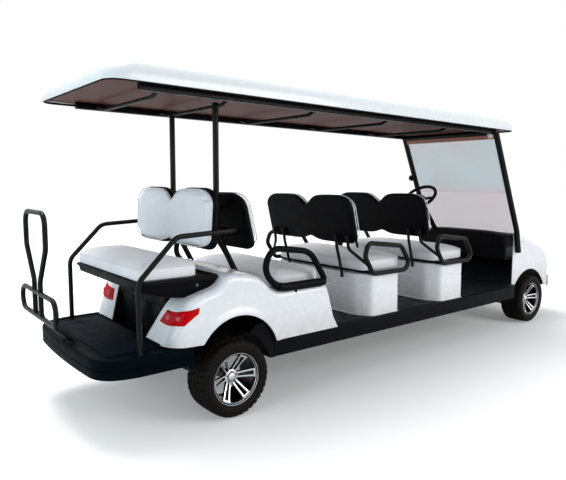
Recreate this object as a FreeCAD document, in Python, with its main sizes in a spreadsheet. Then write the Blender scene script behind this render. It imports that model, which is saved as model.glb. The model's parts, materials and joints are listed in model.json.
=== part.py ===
import math
import os

import FreeCAD
import Part

# Electric passenger cart with three forward rows and one rear-facing seat.
# +X is forward, +Y is the left side, +Z is up, millimetres.
# The origin lies on the ground below the middle of the whole length.

SIZES = dict(
    # whole vehicle
    rear_overhang=965, wheelbase=3657, front_overhang=438, overrun=20, skin_gap=0.3,
    # wheels
    tyre_diameter=477, tyre_width=215, rim_diameter=325, bead_radius=150, bead_half_width=92, tread_crown=6,
    sidewall_start=3, sidewall_flare=7, rear_wheel_out=517, front_wheel_out=438, rim_wall=5, rim_dish=46,
    hub_radius=46, hub_bore=30, hub_face_depth=52, spoke_width=24, spoke_foot_width=17, spoke_depth=15,
    spoke_foot_depth=22,
    # chassis frame
    rail_half_gap=210, rail_width=50, rail_height=80, front_rail_half_gap=120, frame_rear=740,
    rail_neck_start_setback=607, rail_neck_end_setback=357, cross_width=50,
    # floor and sills
    floor_top=424, floor_thick=18, floor_inset=60, floor_rear=835, floor_front_setback=327, toe_run=150,
    toe_rise=170, toe_thick=12, sill_width=45, sill_bottom=307, sill_rear=310, sill_front_setback=420,
    # rear body
    body_half_width=600, body_wall=6, body_corner=40, body_plan_corner=130, body_rear_low=420,
    body_rear_low_height=495, body_rear_high=337, body_rear_high_height=690, shoulder_back=134,
    shoulder_height=820, crest_back=79, crest_height=880, deck_front=210, deck_front_height=850,
    seat_step=300, seat_step_height=735, body_front_high=763, body_front_round=30, body_front_low=850,
    arch_radius=300, arch_ahead=30, arch_height=330, bay_half_width=300,
    # linings of the wheel arches
    liner_wall=3, liner_inner_out=362, front_liner_inner_out=190,
    # footrest deck
    foot_deck_rear=812, foot_deck_front=265, foot_deck_inset=10, foot_deck_top=485, foot_deck_thick=108,
    foot_deck_skirt=12, foot_deck_plate=18, foot_deck_corner=200, deck_mat_rear=725, deck_mat_front=415,
    deck_mat_half_width=440, deck_mat_thick=3, deck_mat_corner=25,
    # rear panel, rear seat
    rear_panel_thick=10, rear_panel_back=361, rear_panel_top=770, rear_base_back=570, rear_base_front=60,
    rear_base_half_width=485, rear_base_bottom=775, rear_base_top=885, rear_base_taper=60,
    # lamps
    tail_lamp_low=614, tail_lamp_high=697, tail_lamp_inner_low=377, tail_lamp_inner_high=405,
    tail_lamp_ahead_low=333, tail_lamp_ahead_high=230, tail_lamp_proud=5,
    # cushions
    cushion_thick=110, cushion_length=435, cushion_behind=361, cushion_inset=70, cushion_round=28,
    rear_cushion_front=188, rear_cushion_length=366, rear_cushion_half_width=475, rear_cushion_thick=95,
    third_cushion_rear=330,
    # seat boxes
    row_pitch=846, pod_front=1549, pod_length=300, pod_back_length=370, pod_inset=40, pod_taper=130,
    pod_top=735, pod_wall=5, pod_corner=35, plinth_gap=3,
    # backrests, measured from the front of the seat box
    back_low_behind=425, back_low_height=965, back_top_behind=510, back_top_height=1322, back_half_width=503,
    back_notch=91, back_lower_notch=28, back_corner=95, bracket_low=1080, bracket_high=1265,
    bracket_radius=11, shell_thick=34, pad_thick=34, pad_inset=9, third_back_behind=1354,
    rear_back_low=62, rear_back_high=39, rear_back_bottom=1012, rear_back_top=1385, rear_back_half_width=512,
    # seat frames and armrests
    frame_tube=12, brace_out=315, brace_overlap=70, brace_drop=35, brace_gap=1.2, brace_foot_height=700,
    cross_tube_behind=279, arm_brace_height=800, arm_out_of_box=26, arm_in_of_body=14, arm_tube=18,
    third_arm_tube=21, third_arm_base=29, arm_bottom=752, arm_top=1000, arm_bend=55,
    arm_rear_behind=420, arm_top_rear_behind=385, arm_top_front_behind=20, arm_low_front_ahead=118,
    arm_low_rear_behind=330, arm_mid_height=890, arm_front_drop=60, third_arm_shift=872,
    # roof
    roof_rear=740, roof_front_setback=597, roof_half_width=598, roof_lip_rear_height=1936,
    roof_lip_front_height=1891, roof_rise=88, roof_slope=85, roof_wall=6, roof_side_slope=60, roof_corner=90,
    liner_thick=6, liner_lift=14, roof_rail_out=500, roof_rail_size=42, roof_rail_rear=530, bow_radius=14,
    # roof posts
    post_out=290, post_ahead=66, post_tube=19, post_bend_height=1100, post_foot_ahead=232,
    post_foot_height=812, post_bend=120,
    # windshield
    strut_top_setback=763, strut_top_height=1874, strut_top_out=521, strut_low_setback=335,
    strut_low_height=955, strut_foot_setback=284, strut_foot_height=740, strut_tube=26, glass_thick=6,
    # front cowl
    cowl_half_width=505, cowl_wall=6, cowl_rear_setback=332, cowl_top=915, hood_start_setback=187,
    hood_end_reach=273, hood_end_height=760, nose_height=600, cowl_corner=50,
    cowl_bottom=345, front_arch_radius=345, front_arch_height=200, bumper_height=110, bumper_bottom=330,
    bumper_thick=25, bumper_half_width=500, bumper_corner=15, head_lamp_radius=58, head_lamp_out=380,
    head_lamp_depth=40, head_lamp_proud=6,
    # dashboard and the lining of the footwell
    dash_rear_setback=470, dash_low=690, dash_knee_setback=325, dash_wall=12, footwell_wall=3,
    # steering
    wheel_centre_setback=735, wheel_centre_height=1262, wheel_out=330, steer_radius=176, steer_rim=13,
    column_tilt_degrees=40, column_radius=24, steer_hub_radius=48, steer_hub_height=46, steer_spoke=11,
    kingpin_out=300, knuckle_height=110, knuckle_radius=26, yoke_clearance=14, arm_reach=115, arm_thick=16,
    arm_width=30, tie_rod_radius=10, rod_end_height=24, eye_radius=20,
    # axles and springs
    axle_tube=36, housing_radius=95, housing_width=133, motor_radius=95, motor_length=260, front_beam=44,
    spring_out=235, spring_width=45, spring_leaf=7, spring_half_length=330, spring_half_seat=66,
    spring_eye_length=66,
    # battery and pedals
    battery_length=360, battery_width=820, battery_height=250, battery_ahead=350, pedal_out=200,
    pedal_pitch=120, pedal_width=70, pedal_height=110, pedal_thick=12, pedal_setback=432, pedal_lift=95,
    pedal_stem=8,
    # rear grab rails
    rail_tube=15, grab_out=562, grab_top_height=1118, grab_top_rear=360, grab_low_height=885,
    grab_low_rear=590, grab_bend=91,
    # footrest grab bar
    bar_tube=14, bar_foot_back=753, bar_top_height=1250, bar_top_half_width=195, bar_waist_half_width=60,
    bar_waist_height=860, ring_half_width=335, ring_low_height=652, ring_high_height=790, ring_bend=68,
)

doc = FreeCAD.newDocument("passenger_cart")
sheet = doc.addObject("Spreadsheet::Sheet", "Sizes")
for row, (alias, value) in enumerate(SIZES.items(), start=1):
    sheet.set(f"A{row}", alias)
    sheet.set(f"B{row}", str(value))
    sheet.setAlias(f"B{row}", alias)
doc.recompute()


class Size:
    """A length that knows its value and the cell expression that gives it."""

    def __init__(self, text, value):
        self.text = text
        self.value = float(value)

    def join(self, sign, other, value):
        return Size(f"({self.text} {sign} {getattr(other, 'text', other)})", value)

    def __float__(self):
        return self.value

    def __neg__(self):
        return Size(f"(0 - {self.text})", -self.value)

    def __add__(self, other):
        return self.join("+", other, self.value + float(other))

    def __sub__(self, other):
        return self.join("-", other, self.value - float(other))

    def __mul__(self, share):
        return self.join("*", share, self.value * float(share))

    def __truediv__(self, share):
        return self.join("/", share, self.value / float(share))


class Sheet:
    """Gives each cell of the spreadsheet as a Size."""

    def __getattr__(self, alias):
        return Size(f"Sizes.{alias}", sheet.get(alias))


S = Sheet()
ZERO = Size("0", 0)
FORWARD = FreeCAD.Vector(1, 0, 0)
LEFTWARD = FreeCAD.Vector(0, 1, 0)
TOUCH = 0.5
NEAR = 1.0
SAME = 1e-6
NODES = []
OVERALL_LENGTH = S.rear_overhang + S.wheelbase + S.front_overhang
NOSE_AHEAD = S.wheelbase + S.front_overhang - S.bumper_thick
COWL_REAR = S.wheelbase - S.cowl_rear_setback
HOOD_START = S.wheelbase - S.hood_start_setback
DASH_REAR = S.wheelbase - S.dash_rear_setback
DASH_KNEE = S.wheelbase - S.dash_knee_setback
STRUT_TOP_AHEAD = S.wheelbase - S.strut_top_setback
STRUT_LOW_AHEAD = S.wheelbase - S.strut_low_setback
STRUT_FOOT_AHEAD = S.wheelbase - S.strut_foot_setback
WHEEL_CENTRE_AHEAD = S.wheelbase - S.wheel_centre_setback
PEDAL_AHEAD = S.wheelbase - S.pedal_setback
FLOOR_FRONT = S.wheelbase - S.floor_front_setback
SILL_FRONT = S.wheelbase - S.sill_front_setback
RAIL_NECK_START = S.wheelbase - S.rail_neck_start_setback
RAIL_NECK_END = S.wheelbase - S.rail_neck_end_setback
ROOF_FRONT = S.wheelbase - S.roof_front_setback
HOOD_END = S.wheelbase + S.hood_end_reach
FLOOR_HALF_WIDTH = S.body_half_width - S.floor_inset
FOOT_DECK_HALF_WIDTH = S.body_half_width - S.foot_deck_inset
CUSHION_HALF_WIDTH = S.body_half_width - S.cushion_inset
POD_HALF_WIDTH = S.body_half_width - S.pod_inset
POD_BACK_HALF_WIDTH = POD_HALF_WIDTH - S.pod_taper
RAIL_TOP = S.floor_top - S.floor_thick - S.skin_gap
RAIL_BOTTOM = RAIL_TOP - S.rail_height
FRAME_FRONT = NOSE_AHEAD - S.cowl_wall - S.skin_gap
CROSS_TUBE_HEIGHT = S.pod_top + S.skin_gap + S.frame_tube
STRUT_LOW_OUT = S.cowl_half_width + S.skin_gap + S.strut_tube


def point(x, y, z):
    """A vector of three sizes."""
    return FreeCAD.Vector(float(x), float(y), float(z))


def ahead(distance):
    """The place of something that lies this far in front of the rear axle."""
    return S.rear_overhang - OVERALL_LENGTH / 2 + distance


def node(item, label):
    """Marks an object as a piece of the vehicle, named after its file."""
    item.Label = label
    NODES.append(item)
    return item


def place(item, x, y, z):
    """Binds an object's place to the sheet."""
    for axis, size in zip("xyz", (x, y, z)):
        item.setExpression(f"Placement.Base.{axis}", size.text)
    return item


def box(name, x, y, z):
    """A block between low and high sizes along each axis."""
    item = doc.addObject("Part::Box", name)
    for prop, (low, high) in zip(("Length", "Width", "Height"), (x, y, z)):
        item.setExpression(prop, (high - low).text)
    return place(item, x[0], y[0], z[0])


def cylinder(name, radius, length, x, y, z, turn=None):
    """A round bar that starts at a point and runs along +Z, or along a turned axis."""
    item = doc.addObject("Part::Cylinder", name)
    item.setExpression("Radius", radius.text)
    item.setExpression("Height", length.text)
    if turn:
        item.Placement.Rotation = FreeCAD.Rotation(*turn)
    return place(item, x, y, z)


ALONG_Y = (FreeCAD.Vector(1, 0, 0), -90)
ALONG_X = (FreeCAD.Vector(0, 1, 0), 90)


def fuse(name, items):
    item = doc.addObject("Part::MultiFuse", name)
    item.Shapes = items
    return item


def group(name, items):
    """Several solids of one piece that don't touch."""
    item = doc.addObject("Part::Compound", name)
    item.Links = items
    return item


def cut(name, base, tool):
    item = doc.addObject("Part::Cut", name)
    item.Base = base
    item.Tool = tool
    return item


def shaped(name, shape):
    """A piece whose form is worked out with Part's own functions."""
    item = doc.addObject("Part::Feature", name)
    item.Shape = shape
    return item


def round_edges(name, base, radius, wanted):
    """Rounds the edges of a base that the test function picks."""
    doc.recompute()
    item = doc.addObject("Part::Fillet", name)
    item.Base = base
    picked = [number for number, edge in enumerate(base.Shape.Edges, start=1) if wanted(edge)]
    item.Edges = [(number, float(radius), float(radius)) for number in picked]
    return item


def bent_path(points, radius):
    """Straight runs joined by tangent arcs, as one wire."""
    edges = []
    last = points[0]
    for before, corner, after in zip(points, points[1:], points[2:]):
        into = (corner - before).normalize()
        out = (after - corner).normalize()
        turn = into.getAngle(out)
        reach = min(
            float(radius) * math.tan(turn / 2),
            (corner - before).Length / 2,
            (after - corner).Length / 2,
        )
        start = corner - into * reach
        end = corner + out * reach
        bow = (out - into).normalize()
        rise = reach / math.tan(turn / 2)
        middle = corner + bow * (rise / math.cos(turn / 2) - rise)
        if not start.isEqual(last, SAME):
            edges.append(Part.LineSegment(last, start).toShape())
        edges.append(Part.Arc(start, middle, end).toShape())
        last = end
    edges.append(Part.LineSegment(last, points[-1]).toShape())
    return Part.Wire(edges)


def tube_shape(points, radius, bend):
    """A round bar along straight runs and tangent arcs."""
    path = bent_path(points, bend)
    section = Part.Wire(Part.makeCircle(float(radius), points[0], points[1] - points[0]))
    return path.makePipeShell([section], True, False)


def ring_shape(points, radius, bend):
    """A closed round bar: the loop starts in the middle of its last side."""
    start = (points[0] + points[-1]) / 2
    return tube_shape([start] + points + [start], radius, bend)


def slab_box(x, y, z):
    """A plain block between low and high sizes, for cutting shapes."""
    size = point(x[1] - x[0], y[1] - y[0], z[1] - z[0])
    return Part.makeBox(size.x, size.y, size.z, point(x[0], y[0], z[0]))


def above(shape, height):
    """Takes away what lies below a height."""
    far = OVERALL_LENGTH
    return shape.cut(slab_box((-far, far), (-far, far), (-far, height)))


def polygon(points):
    return Part.makePolygon(points + [points[0]])


def slab(points, direction):
    """A flat outline pushed along a direction."""
    return Part.Face(polygon(points)).extrude(direction)


def offset_path(points, distance):
    """The same XZ outline moved sideways by a distance, to the right of its run."""
    runs = [(after - before).normalize() for before, after in zip(points, points[1:])]
    sides = [FreeCAD.Vector(run.z, 0, -run.x) for run in runs]
    moved = [points[0] + sides[0] * distance]
    for corner, one, other in zip(points[1:], sides, sides[1:]):
        middle = (one + other).normalize()
        moved.append(corner + middle * (distance / middle.dot(one)))
    moved.append(points[-1] + sides[-1] * distance)
    return moved


def section_slab(points, half_width):
    """An XZ outline across the vehicle."""
    side = point(ZERO, -half_width, ZERO)
    return slab([corner + side for corner in points], point(ZERO, half_width * 2, ZERO))


def hollow(points, half_width, wall, floor):
    """A cover of even thickness over an XZ outline that runs from its rear to its front, open below."""
    low = float(floor)
    inner = offset_path(points, float(wall))
    outer_loop = [FreeCAD.Vector(points[0].x, 0, low)] + points + [FreeCAD.Vector(points[-1].x, 0, low)]
    under = low - float(S.overrun)
    inner_loop = [FreeCAD.Vector(inner[0].x, 0, under)] + inner + [FreeCAD.Vector(inner[-1].x, 0, under)]
    return section_slab(outer_loop, half_width), section_slab(inner_loop, half_width - wall)


def plan_rounded(shape, radius, wanted):
    """Rounds the edges of a shape that the test function picks."""
    return shape.makeFillet(float(radius), [edge for edge in shape.Edges if wanted(edge)])


# wheels
def wheel_nodes():
    """Four tyres and four rims, turned about their axles."""
    half = S.tyre_width / 2
    outer = S.tyre_diameter / 2
    rim = S.rim_diameter / 2
    bead = S.bead_radius
    lip = rim + S.sidewall_start
    low = lip + S.sidewall_flare
    high = low + (outer - S.tread_crown - low) * SHOULDER_SHARE
    side_width = half * SIDEWALL_SHARE
    tread_width = half * TREAD_SHARE
    path = [
        ((bead, -S.bead_half_width), (lip, -S.bead_half_width)),
        ((lip, -S.bead_half_width), (low, -side_width)),
        ((low, -side_width), ((low + high) / 2, -half), (high, -side_width)),
        ((high, -side_width), (outer - S.tread_crown, -tread_width)),
        ((outer - S.tread_crown, -tread_width), (outer, ZERO), (outer - S.tread_crown, tread_width)),
        ((outer - S.tread_crown, tread_width), (high, side_width)),
        ((high, side_width), ((low + high) / 2, half), (low, side_width)),
        ((low, side_width), (lip, S.bead_half_width)),
        ((lip, S.bead_half_width), (bead, S.bead_half_width)),
        ((bead, S.bead_half_width), (bead, -S.bead_half_width)),
    ]
    tyre = turned(path)
    rim_body = rim_shape()
    for label, x, out, side in WHEEL_PLACES:
        for kind, source in (("tyre", tyre), ("rim", rim_body)):
            item = shaped(f"{kind}_{label}_solid", source)
            if side < 0:
                item.Placement.Rotation = FreeCAD.Rotation(FreeCAD.Vector(0, 0, 1), 180)
            place(item, x, out * side, S.tyre_diameter / 2)
            node(item, f"{kind}_{label}")


def turned(path):
    """A section of radius and width, turned about the Y axis: lines, and arcs through a third place."""
    edges = []
    for places in path:
        ends = [point(radius, width, ZERO) for radius, width in places]
        curve = Part.Arc(*ends) if len(ends) == 3 else Part.LineSegment(*ends)
        edges.append(curve.toShape())
    return Part.Face(Part.Wire(edges)).revolve(point(ZERO, ZERO, ZERO), LEFTWARD, 360)


def rim_shape():
    """Barrel, hub and six split spokes that run back to a deep hub."""
    lip = S.rim_diameter / 2
    seat = S.bead_radius - S.skin_gap
    half = S.bead_half_width
    wall = S.rim_wall
    face = half - wall
    barrel = [
        (seat, -half - wall), (lip, -half - wall), (lip, -half - S.skin_gap), (seat, -half - S.skin_gap),
        (seat, half + S.skin_gap), (lip, half + S.skin_gap), (lip, half + wall), (seat, half + wall),
        (seat - wall, half), (seat - wall, -half),
    ]
    hub_face = half - S.hub_face_depth
    hub = [
        (S.hub_bore, hub_face - S.rim_dish), (S.hub_radius, hub_face - S.rim_dish),
        (S.hub_radius, hub_face), (S.hub_bore, hub_face),
    ]
    solids = []
    for outline in (barrel, hub):
        points = [point(radius, width, ZERO) for radius, width in outline]
        solids.append(Part.Face(polygon(points)).revolve(point(ZERO, ZERO, ZERO), LEFTWARD, 360))
    inner = S.hub_radius - wall
    outer = seat - wall / 2
    for number in range(SPOKES):
        for side in (-1, 1):
            swing = FreeCAD.Rotation(LEFTWARD, 360 * number / SPOKES + side * SPOKE_SPREAD)
            foot_turn = FreeCAD.Rotation(LEFTWARD, 360 * number / SPOKES + side * SPOKE_ROOT)
            ends = []
            for turn, radius, top, width, depth in (
                (foot_turn, inner, hub_face, S.spoke_foot_width, S.spoke_foot_depth),
                (swing, outer, face, S.spoke_width, S.spoke_depth),
            ):
                corners = [
                    point(radius, top, -width / 2), point(radius, top, width / 2),
                    point(radius, top - depth, width / 2), point(radius, top - depth, -width / 2),
                ]
                ends.append(polygon([turn.multVec(corner) for corner in corners]))
            solids.append(Part.makeLoft(ends, True, True))
    whole = solids[0]
    return whole.multiFuse(solids[1:]).removeSplitter()


SHOULDER_SHARE = 0.82
SIDEWALL_SHARE = 0.93
TREAD_SHARE = 0.74
SPOKES = 6
SPOKE_SPREAD = 8.5
SPOKE_ROOT = 12.0
FRONT_AXLE = ahead(S.wheelbase)
REAR_AXLE = ahead(ZERO)
WHEEL_PLACES = [
    ("front_left", FRONT_AXLE, S.front_wheel_out, 1),
    ("front_right", FRONT_AXLE, S.front_wheel_out, -1),
    ("rear_left", REAR_AXLE, S.rear_wheel_out, 1),
    ("rear_right", REAR_AXLE, S.rear_wheel_out, -1),
]
wheel_nodes()


# chassis
def chassis_frame():
    """Two rails that come together between the front wheels, with cross members."""
    bottom = RAIL_BOTTOM
    top = bottom + S.rail_height
    rails = []
    for side in (1, -1):
        plan = [
            (-S.frame_rear, S.rail_half_gap), (RAIL_NECK_START, S.rail_half_gap),
            (RAIL_NECK_END, S.front_rail_half_gap), (FRAME_FRONT, S.front_rail_half_gap),
            (FRAME_FRONT, S.front_rail_half_gap + S.rail_width),
            (RAIL_NECK_END, S.front_rail_half_gap + S.rail_width),
            (RAIL_NECK_START, S.rail_half_gap + S.rail_width),
            (-S.frame_rear, S.rail_half_gap + S.rail_width),
        ]
        corners = [point(ahead(x), y * side, bottom) for x, y in plan]
        rails.append(slab(corners, point(ZERO, ZERO, S.rail_height)))
    for share in CROSS_SHARES:
        x = ahead(RAIL_NECK_START * share - S.frame_rear * (1 - share))
        reach = S.rail_half_gap + S.rail_width / 2
        lift = bottom + S.rail_width * CROSS_LIFT_SHARE
        low = [point(x, -reach, lift), point(x + S.cross_width, -reach, lift),
               point(x + S.cross_width, reach, lift), point(x, reach, lift)]
        rails.append(slab(low, point(ZERO, ZERO, S.rail_height * CROSS_HEIGHT_SHARE)))
    nose = FRAME_FRONT - S.cross_width
    reach = S.front_rail_half_gap + S.rail_width / 2
    low = [point(ahead(nose), -reach, bottom), point(ahead(FRAME_FRONT), -reach, bottom),
           point(ahead(FRAME_FRONT), reach, bottom), point(ahead(nose), reach, bottom)]
    rails.append(slab(low, point(ZERO, ZERO, S.rail_height)))
    node(shaped("chassis_rails", rails[0].multiFuse(rails[1:]).removeSplitter()), "chassis_frame")


CROSS_SHARES = (0.02, 0.12, 0.32, 0.55, 0.78, 0.97)
CROSS_HEIGHT_SHARE = 0.6
CROSS_LIFT_SHARE = 0.25
chassis_frame()


def floor_and_sills():
    """Flat floor with a slanted toe board, and a sill along each side."""
    top = S.floor_top
    thick = S.floor_thick
    narrow = S.cowl_half_width - S.cowl_wall - S.skin_gap
    flat = slab_box((ahead(S.floor_rear), ahead(COWL_REAR - S.skin_gap)),
                    (-FLOOR_HALF_WIDTH, FLOOR_HALF_WIDTH), (top - thick, top))
    outline = [
        (COWL_REAR - S.skin_gap, top), (FLOOR_FRONT, top),
        (FLOOR_FRONT + S.toe_run, top + S.toe_rise),
        (FLOOR_FRONT + S.toe_run + S.toe_thick, top + S.toe_rise),
        (FLOOR_FRONT + S.toe_thick, top - thick), (COWL_REAR - S.skin_gap, top - thick),
    ]
    points = [point(ahead(x), ZERO, z) for x, z in outline]
    board = flat.fuse(section_slab(points, narrow)).removeSplitter()
    node(shaped("floor_board", board), "floor_panel")
    sills = []
    for side in (1, -1):
        inner = FLOOR_HALF_WIDTH + S.skin_gap
        y = sorted((inner * side, (inner + S.sill_width) * side), key=float)
        block = box(f"sill_block_{side + 1}", (ahead(S.sill_rear), ahead(SILL_FRONT)), y,
                    (S.sill_bottom, top))
        sills.append(round_edges(
            f"sill_{side + 1}", block, S.sill_width * SILL_ROUND_SHARE,
            lambda edge: edge.BoundBox.XLength > edge.BoundBox.ZLength + edge.BoundBox.YLength,
        ))
    node(group("sills", sills), "side_sills")


SILL_ROUND_SHARE = 0.25
floor_and_sills()


# bodywork
CORNER_DROP_SHARE = 0.25


def body_outline():
    """Side view of the rear body, from its rear foot over the shoulder to its front foot."""
    outline = [
        (-S.body_rear_low, S.body_rear_low_height), (-S.body_rear_high, S.body_rear_high_height),
        (-S.body_rear_high + S.body_corner, S.rear_panel_top - S.body_corner * CORNER_DROP_SHARE),
        (-S.shoulder_back, S.shoulder_height), (-S.crest_back, S.crest_height),
        (S.deck_front, S.deck_front_height), (S.seat_step, S.seat_step_height),
        (S.body_front_high - S.body_front_round, S.seat_step_height),
        (S.body_front_high, S.seat_step_height - S.body_front_round),
        (S.body_front_low, S.floor_top + S.skin_gap),
    ]
    return [point(ahead(x), ZERO, z) for x, z in outline]


def body_block(grow):
    """The body's outer form, grown by a size; its flanks turn into the rear face along wide corners."""
    points = offset_path(body_outline(), -float(grow))
    half_width = S.body_half_width + grow
    outer, inner = hollow(points, half_width, S.body_wall, S.floor_top + S.skin_gap)
    limit = float(ahead(-S.body_rear_high + S.body_corner)) - NEAR

    def top_edge(flank):
        def on_top(edge):
            bound = edge.BoundBox
            on_flank = abs(abs(bound.Center.y) - float(flank)) < NEAR and bound.YLength < NEAR
            high = bound.ZMin > float(S.seat_step_height - S.body_corner)
            return on_flank and high and bound.XMin > limit
        return on_top

    outer = plan_rounded(outer, S.body_corner, top_edge(half_width))
    inner = plan_rounded(inner, S.body_corner - S.body_wall, top_edge(half_width - S.body_wall))
    rear = points[0].x
    plan = slab_box((Size("0", rear), ahead(S.wheelbase)), (-half_width, half_width), (ZERO, OVERALL_LENGTH))
    plan = plan_rounded(plan, S.body_plan_corner + grow, lambda edge: edge.BoundBox.ZLength > NEAR
                        and abs(edge.BoundBox.Center.x - rear) < NEAR)
    return outer.common(plan), inner, plan


def rear_body():
    """Moulded rear body: third-row seat box, fenders, wheel arches and the rear face."""
    outer, inner, plan = body_block(ZERO)
    flank = S.body_half_width + S.overrun
    far = OVERALL_LENGTH
    inner_plan = plan_rounded(
        slab_box((ahead(-S.body_rear_low + S.body_wall), ahead(S.wheelbase)),
                 (S.body_wall - S.body_half_width, S.body_half_width - S.body_wall), (-S.overrun, far)),
        S.body_plan_corner - S.body_wall,
        lambda edge: edge.BoundBox.ZLength > NEAR and edge.BoundBox.Center.x < float(REAR_AXLE),
    )
    body = outer.cut(inner.common(inner_plan))
    arch = Part.makeCylinder(
        float(S.arch_radius), float(flank * 2), point(ahead(S.arch_ahead), -flank, S.arch_height), LEFTWARD,
    )
    core = slab_box((-far, far), (-S.bay_half_width, S.bay_half_width), (ZERO, far))
    under = slab_box((-far, ahead(S.arch_ahead)), (-flank, flank), (ZERO, S.body_rear_low_height))
    bay = slab_box((ahead(-S.body_rear_low - S.overrun), ahead(-S.body_rear_high + S.body_corner / 2)),
                   (-S.bay_half_width, S.bay_half_width), (ZERO, S.rear_panel_top - S.body_corner / 2))
    body = body.cut(arch.cut(core)).cut(under).cut(bay)
    node(shaped("rear_cover", body), "rear_body")
    tails = []
    grown = body_block(S.tail_lamp_proud)[0].cut(body_block(S.skin_gap)[0])
    low, high = S.tail_lamp_low, S.tail_lamp_high
    behind = ahead(-S.rear_overhang)
    side_view = section_slab([
        point(behind, ZERO, low), point(ahead(-S.tail_lamp_ahead_low), ZERO, low),
        point(ahead(-S.tail_lamp_ahead_high), ZERO, high), point(behind, ZERO, high),
    ], flank)
    for side in (1, -1):
        rear_view = slab([
            point(behind, S.tail_lamp_inner_low * side, low), point(behind, flank * side, low),
            point(behind, flank * side, high), point(behind, S.tail_lamp_inner_high * side, high),
        ], point(far, ZERO, ZERO))
        tails.append(shaped(f"tail_lamp_{side + 1}", grown.common(side_view).common(rear_view)))
    node(group("tail_lamp_pair", tails), "tail_lights")


rear_body()


def wheel_linings():
    """Black arcs over the wheels with a wall on the inner side of each."""
    solids = []
    places = (
        (ahead(S.arch_ahead), S.arch_height, S.arch_radius, S.liner_inner_out,
         S.body_half_width - S.body_wall, S.floor_top),
        (FRONT_AXLE, S.front_arch_height, S.front_arch_radius, S.front_liner_inner_out,
         S.cowl_half_width - S.cowl_wall, S.cowl_bottom),
    )
    for x, height, radius, inner, outer, floor in places:
        for side in (1, -1):
            y = min(inner * side, (outer - S.skin_gap) * side, key=float)
            width = outer - S.skin_gap - inner
            centre = point(x, y, height)
            drum = Part.makeCylinder(float(radius + S.liner_wall), float(width), centre, LEFTWARD)
            moved = centre + LEFTWARD * float(S.liner_wall * side)
            room = Part.makeCylinder(float(radius), float(width), moved, LEFTWARD)
            solids.append(shaped(f"lining_{len(solids)}", above(drum.cut(room), floor + S.skin_gap)))
    node(group("arch_linings", solids), "wheel_liners")


wheel_linings()


def seat_boxes():
    """White boxes under the front and middle cushions, with tapered rear corners."""
    for label, shift in ROWS:
        front = ahead(S.pod_front + shift)
        loops = []
        for inset in (ZERO, S.pod_wall):
            plan = [
                (front - inset, POD_HALF_WIDTH - inset),
                (front - S.pod_length, POD_HALF_WIDTH - inset),
                (front - S.pod_back_length + inset, POD_BACK_HALF_WIDTH - inset),
            ]
            plan += [(x, -y) for x, y in reversed(plan)]
            loops.append([point(x, y, S.floor_top + S.skin_gap) for x, y in plan])
        height = S.pod_top - S.floor_top - S.skin_gap
        outer = slab(loops[0], point(ZERO, ZERO, height))
        upright = height / 2
        outer = plan_rounded(outer, S.pod_corner, lambda edge: edge.BoundBox.ZLength > float(upright))
        inner = slab(loops[1], point(ZERO, ZERO, height - S.pod_wall))
        inner = plan_rounded(inner, S.pod_corner - S.pod_wall,
                             lambda edge: edge.BoundBox.ZLength > float(upright))
        x = (front - S.cross_tube_behind + S.frame_tube + S.plinth_gap, front - S.pod_corner)
        plinth = slab_box(x, (-CUSHION_HALF_WIDTH, CUSHION_HALF_WIDTH),
                          (S.pod_top, CROSS_TUBE_HEIGHT + S.frame_tube))
        node(shaped(f"{label}_seat_box", outer.cut(inner).fuse(plinth)), f"seat_box_{label}")


ROWS = (("middle", ZERO), ("front", S.row_pitch))
seat_boxes()


# seats
def cushion(label, front, bottom, length, half_width, thick):
    """A plain closed cushion block with rounded edges."""
    block = box(f"cushion_block_{label}", (front - length, front), (-half_width, half_width),
                (bottom, bottom + thick))
    node(round_edges(f"cushion_pad_{label}", block, S.cushion_round, lambda edge: True), f"cushion_{label}")


def cushions():
    seat = CROSS_TUBE_HEIGHT + S.frame_tube + S.skin_gap
    for label, shift in ROWS:
        front = ahead(S.pod_front + shift - S.cushion_behind + S.cushion_length)
        cushion(label, front, seat, S.cushion_length, CUSHION_HALF_WIDTH, S.cushion_thick)
    cushion("third", ahead(S.third_cushion_rear + S.cushion_length), S.seat_step_height + S.skin_gap,
            S.cushion_length, CUSHION_HALF_WIDTH, S.cushion_thick)
    cushion("rear", ahead(-S.rear_cushion_front), S.rear_base_top + S.skin_gap,
            S.rear_cushion_length, S.rear_cushion_half_width, S.rear_cushion_thick)


cushions()


# each knot of half an outline: its shares of the half width, height, corner and the two notches
BACK_KNOT_SHARES = (
    (0.0, 1.0, (0.0, 0.0), (-1.0, 0.0)), (0.16, 1.0, (0.0, 0.0), (-0.42, 0.0)),
    (0.34, 1.0, (0.0, 0.0), (-0.03, 0.0)), (0.62, 1.0, (0.0, 0.0), (0.0, 0.0)),
    (1.0, 1.0, (-0.7, -0.25), (0.0, 0.0)), (1.0, 1.0, (-0.14, -0.95), (0.0, 0.0)),
    (1.0, 0.55, (0.0, 0.0), (0.0, 0.0)), (1.0, 0.3, (0.0, 0.0), (0.0, 0.0)),
    (1.0, 0.0, (-0.12, 0.35), (0.0, 0.0)), (1.0, 0.0, (-0.6, 0.0), (0.0, 0.0)),
    (0.6, 0.0, (0.0, 0.0), (0.0, 0.0)), (0.3, 0.0, (0.0, 0.0), (0.0, 0.0)),
    (0.12, 0.0, (0.0, 0.0), (0.0, 0.5)), (0.0, 0.0, (0.0, 0.0), (0.0, 1.0)),
)


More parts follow.
